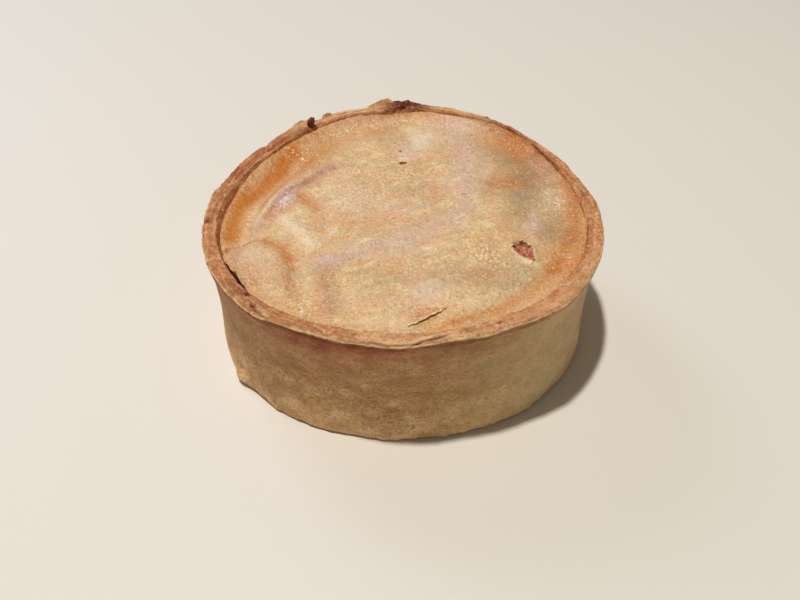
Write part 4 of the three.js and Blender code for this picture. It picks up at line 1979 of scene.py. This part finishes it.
@dataclass
class RimFlakes:
    """The broken flakes that stand on the rim at the back."""

    case: CaseForm = CaseForm()
    flakes: tuple[Flake, ...] = (
        Flake(127.0, 3.3, 0.7, 0.5, 55.0, 0.4, -0.3),
        Flake(116.5, 1.5, 0.9, 0.4, 30.0, 0.42, 0.0),
        Flake(97.5, 3.4, 1.2, 0.4, 30.0, 0.5, -0.6),
        Flake(58.0, 3.0, 0.4, 0.35, 20.0, 0.4, 0.3),
    )
    sunk: float = 0.5
    inset: float = 0.3
    cuts_along: int = 28
    cuts_up: int = 6
    roundness: float = 0.6
    ragged: Uneven = Uneven(1.0, 0.3, 1.0)
    ragged_lumps: float = 4.0
    crumb: tuple[Uneven, ...] = (Uneven(0.0, 0.18, 1.3, 2.0), Uneven(0.0, 0.1, 0.6, 4.0))
    pale: Uneven = Uneven(0.35, 0.5, 1.6, 7.0)

    def add(self, body: bmesh.types.BMesh, flake: Flake) -> list[bmesh.types.BMVert]:
        """Adds one flake.

        Args:
            body: the body, which gains the flake.
            flake: its place and size.

        Returns:
            The vertices of the flake.
        """
        grid = bmesh.ops.create_grid(body, x_segments=self.cuts_along, y_segments=self.cuts_up, size=1.0)
        sheet = grid["verts"]
        lean = math.radians(flake.lean)
        for vert in sheet:
            share = (vert.co.y + 1.0) / 2.0
            outline = (1.0 - vert.co.x**2) ** self.roundness * (1.0 + flake.skew * vert.co.x)
            ragged = self.ragged.at(Vector((vert.co.x * self.ragged_lumps, flake.angle, 0.0)))
            up = share * (flake.height * outline * ragged + self.sunk) - self.sunk
            reach = self.case.crest.radius - self.inset
            angle = flake.angle + math.degrees(vert.co.x * flake.half_length / reach)
            reach = (reach + up * math.sin(lean)) * self.case.plan_scale(angle)
            top = self.case.height + self.case.rim_rise(angle)
            vert.co = *around(reach, angle), top + up * math.cos(lean)
        faces = list(dict.fromkeys(face for vert in sheet for face in vert.link_faces))
        grown = bmesh.ops.solidify(body, geom=faces, thickness=flake.thickness)["geom"]
        skin = [item for item in grown if isinstance(item, bmesh.types.BMFace)]
        return list(dict.fromkeys([*sheet, *(vert for face in skin for vert in face.verts)]))

    def nearest(self, point: Vector) -> Flake:
        """Flake that a place belongs to."""
        angle = plan_angle(point.x, point.y)
        return min(self.flakes, key=lambda flake: abs(apart(angle, flake.angle)))

    def build(self, material: bpy.types.Material) -> bpy.types.Object:
        """Models the flakes and dresses them.

        Args:
            material: their finish.

        Returns:
            The finished piece.
        """
        body = bmesh.new()
        for flake in self.flakes:
            for vert in self.add(body, flake):
                rough = sum(layer.at(vert.co) for layer in self.crumb)
                vert.co += Vector((rough, rough, rough))
        bmesh.ops.recalc_face_normals(body, faces=body.faces[:])
        made = to_object(body, "rim_flakes", self.case.lobe)
        points = plan_points(made, self.case.lobe)
        paint(made, Zone.BAKE, [self.nearest(point).bake for point in points])
        paint(made, Zone.PALE_AND_HIGHLIGHT, [self.pale.at(point) for point in points])
        finish(made, Slot.CASE, material)
        return made


@dataclass
class MeatFilling:
    """The filling: a plain body under the lid, the grains of mince in the tear and the gravy in the vent."""

    form: LidForm = LidForm()
    doublings: int = 2
    gap: float = 0.55
    floor_gap: float = 0.3
    below_lid: float = 0.35
    grains: int = 44
    grain_radius: float = 0.75
    grain_uneven: Uneven = Uneven(1.0, 0.3, 0.8, 7.0)
    grain_cuts: int = 3
    lumpy: Uneven = Uneven(1.0, 0.35, 0.7)
    heap: Uneven = Uneven(0.0, 0.45, 1.4, 2.0)
    heap_fall: float = 0.4
    fill: float = 0.95
    gravy_radius: float = 1.3
    gravy_depth: float = 0.7

    def stations(self) -> list[Station]:
        """Section of the body, as shares of its radius, with height 0 at its floor and 1 at its ceiling.

        Returns:
            The corners in order.
        """
        return [Station(0.0, 0.0), Station(1.0, 0.0, 5), Station(1.0, 1.0, 3), Station(0.0, 1.0, 9)]

    def shape(self, body: bmesh.types.BMesh) -> None:
        """Fits the body between the floor of the case and the lid.

        Args:
            body: the spun section in shares, which is moved.
        """
        form = self.form
        case = form.case
        floor = case.floor_height + self.floor_gap
        for vert in body.verts:
            angle = plan_angle(vert.co.x, vert.co.y)
            share, level = math.hypot(vert.co.x, vert.co.y), vert.co.z
            reach = share * case.seat.radius * case.plan_scale(angle)
            ceiling = form.under(*around(reach, angle)) - self.gap
            foot = case.inner_radius(case.floor_height, angle) - self.gap - case.floor_fillet
            wall = case.inner_radius(ceiling, angle) - self.gap
            radius = share * mix(foot, wall, level) * case.plan_scale(angle)
            vert.co = *around(radius, angle), mix(floor, ceiling, level)

    def add_grain(self, body: bmesh.types.BMesh, centre: Vector, size: float) -> None:
        """Adds one lumpy grain.

        Args:
            body: the body, which gains the grain.
            centre: its middle.
            size: its radius.
        """
        made = bmesh.ops.create_icosphere(body, subdivisions=self.grain_cuts, radius=size)
        for vert in made["verts"]:
            vert.co = centre + vert.co * self.lumpy.at(vert.co + centre)

    def fill_openings(self, body: bmesh.types.BMesh) -> None:
        """Heaps grains of mince in the tear, spread evenly over the oval, and gravy in the vent.

        Args:
            body: the body, which gains them.
        """
        tear = self.form.tear
        turn = Matrix.Rotation(math.radians(tear.turn), 4, "Z")
        level = self.form.top(tear.x, tear.y) - self.below_lid
        for index in range(self.grains):
            reach = self.fill * math.sqrt((index + 0.5) / self.grains)
            angle = index * GOLDEN_ANGLE
            local = Vector((tear.along * reach * math.cos(angle), tear.across * reach * math.sin(angle), 0.0))
            centre = Vector((tear.x, tear.y, level)) + turn @ local
            size = self.grain_radius * self.grain_uneven.at(centre)
            centre.z += self.heap.at(centre) - size - self.heap_fall * reach
            self.add_grain(body, centre, size)
        vent = self.form.vent
        level = self.form.top(vent.x, vent.y) - self.gravy_depth - self.gravy_radius
        self.add_grain(body, Vector((vent.x, vent.y, level)), self.gravy_radius)

    def build(self, material: bpy.types.Material) -> bpy.types.Object:
        """Models the filling and dresses it.

        Args:
            material: its finish.

        Returns:
            The finished piece.
        """
        body = spun(self.stations(), self.doublings)
        self.shape(body)
        bmesh.ops.recalc_face_normals(body, faces=body.faces[:])
        self.fill_openings(body)
        made = to_object(body, "mince_filling", self.form.case.lobe)
        finish(made, Slot.MEAT, material, "meat_filling")
        return made


@dataclass
class BurntNub:
    """The charred nub that stands on the seam at the back left."""

    case: CaseForm = CaseForm()
    angle: float = 123.6
    radius: float = 43.4
    half_width: float = 0.95
    half_height: float = 1.7
    lean: float = 12.0
    cuts: int = 4
    raised: float = 0.2
    crumb: float = 0.3
    lump: float = 0.6
    finer: float = 0.6
    finer_lump: float = 0.25
    bake: Uneven = Uneven(0.9, 0.15, 0.7)
    char: Uneven = Uneven(0.8, 0.4, 0.9, 3.0)

    def build(self, material: bpy.types.Material) -> bpy.types.Object:
        """Models the nub and dresses it.

        Args:
            material: its finish.

        Returns:
            The finished piece.
        """
        body = bmesh.new()
        bmesh.ops.create_icosphere(body, subdivisions=self.cuts, radius=1.0)
        reach = self.radius * self.case.plan_scale(self.angle)
        top = self.case.height + self.case.rim_rise(self.angle)
        centre = Vector((*around(reach, self.angle), top + self.raised * self.half_height))
        tilt = Matrix.Rotation(math.radians(self.lean), 4, "Y")
        for vert in body.verts:
            lumps = grain(vert.co, self.lump) + self.finer * grain(vert.co, self.finer_lump)
            vert.co *= 1.0 + self.crumb * lumps
            x, y, z = vert.co
            sized = Vector((x * self.half_width, y * self.half_width, z * self.half_height))
            vert.co = centre + tilt @ sized
        made = to_object(body, "burnt_nub", self.case.lobe)
        points = plan_points(made, self.case.lobe)
        paint(made, Zone.BAKE, [self.bake.at(point) for point in points])
        paint(made, Zone.CHAR_AND_SHADE, [self.char.at(point) for point in points])
        finish(made, Slot.CASE, material)
        return made


@dataclass(frozen=True)
class Lamp:
    """A square soft lamp that faces the pie."""

    name: str
    place: tuple[float, float, float]
    size: float
    power: float
    colour: str

    def build(self) -> None:
        """Hangs the lamp."""
        light = bpy.data.lights.new(self.name, "AREA")
        light.shape = "SQUARE"
        light.size = self.size
        light.energy = self.power
        light.color = linear(self.colour)[:3]
        made = bpy.data.objects.new(self.name, light)
        made.location = self.place
        made.rotation_euler = (-Vector(self.place)).to_track_quat("-Z", "Y").to_euler()
        bpy.context.scene.collection.objects.link(made)


@dataclass
class Studio:
    """Pale floor, a lamp above, a cool lamp behind, and the camera."""

    floor_size: float = 6.0
    floor_colour: str = "#e3dfd6"
    floor_roughness: float = 0.55
    camera_place: tuple[float, float, float] = (-0.00052, -0.16189, 0.14911)
    camera_tilt: float = 47.65
    focal_length: float = 38.25
    sensor_width: float = 36.0
    near_clip: float = 0.01
    lamps: tuple[Lamp, ...] = (
        Lamp("key", (-0.17, -0.06, 1.2), 0.06, 11.5, "#fffaf2"),
        Lamp("window", (-0.62, 0.75, 0.7), 0.4, 3.0, "#d6e0ff"),
    )
    sky_colour: str = "#fff0dc"
    sky_strength: float = 0.165

    def floor(self) -> None:
        """Lays the floor, which is not part of the pie."""
        body = bmesh.new()
        bmesh.ops.create_grid(body, x_segments=1, y_segments=1, size=self.floor_size / 2.0)
        mesh = bpy.data.meshes.new("floor")
        body.to_mesh(mesh)
        body.free()
        made = bpy.data.objects.new("floor", mesh)
        bpy.context.scene.collection.objects.link(made)
        paper = bpy.data.materials.new("studio_floor_matte")
        paper.use_nodes = True
        surface = paper.node_tree.nodes["Principled BSDF"]
        surface.inputs["Base Color"].default_value = linear(self.floor_colour)
        surface.inputs["Roughness"].default_value = self.floor_roughness
        mesh.materials.append(paper)

    def light(self) -> None:
        """Hangs the lamps and sets the even light of the room."""
        for lamp in self.lamps:
            lamp.build()
        world = bpy.data.worlds.new("room")
        world.use_nodes = True
        sky = world.node_tree.nodes["Background"]
        sky.inputs["Color"].default_value = linear(self.sky_colour)
        sky.inputs["Strength"].default_value = self.sky_strength
        bpy.context.scene.world = world

    def camera(self) -> None:
        """Stands the camera where the pie is seen from the front and above."""
        lens = bpy.data.cameras.new("camera")
        lens.lens = self.focal_length
        lens.sensor_width = self.sensor_width
        lens.clip_start = self.near_clip
        made = bpy.data.objects.new("camera", lens)
        made.location = self.camera_place
        made.rotation_euler = Euler((math.radians(self.camera_tilt), 0.0, 0.0))
        bpy.context.scene.collection.objects.link(made)
        bpy.context.scene.camera = made

    def build(self) -> None:
        """Builds the stage round the pie."""
        self.floor()
        self.light()
        self.camera()
        bpy.context.scene.view_settings.view_transform = "Standard"


def main() -> None:
    """Builds the pie piece by piece, then its stage."""
    logging.basicConfig(level=logging.INFO, format="%(name)s: %(message)s")
    case_crust = CASE_CRUST.material()
    lid_crust = LID_CRUST.material()
    PastryCase().build(case_crust)
    MeatFilling().build(CookedMince().material())
    PastryLid().build(lid_crust)
    LidFlake().build(lid_crust)
    RimFlakes().build(case_crust)
    BurntNub().build(case_crust)
    Studio().build()


if __name__ == "__main__":
    main()
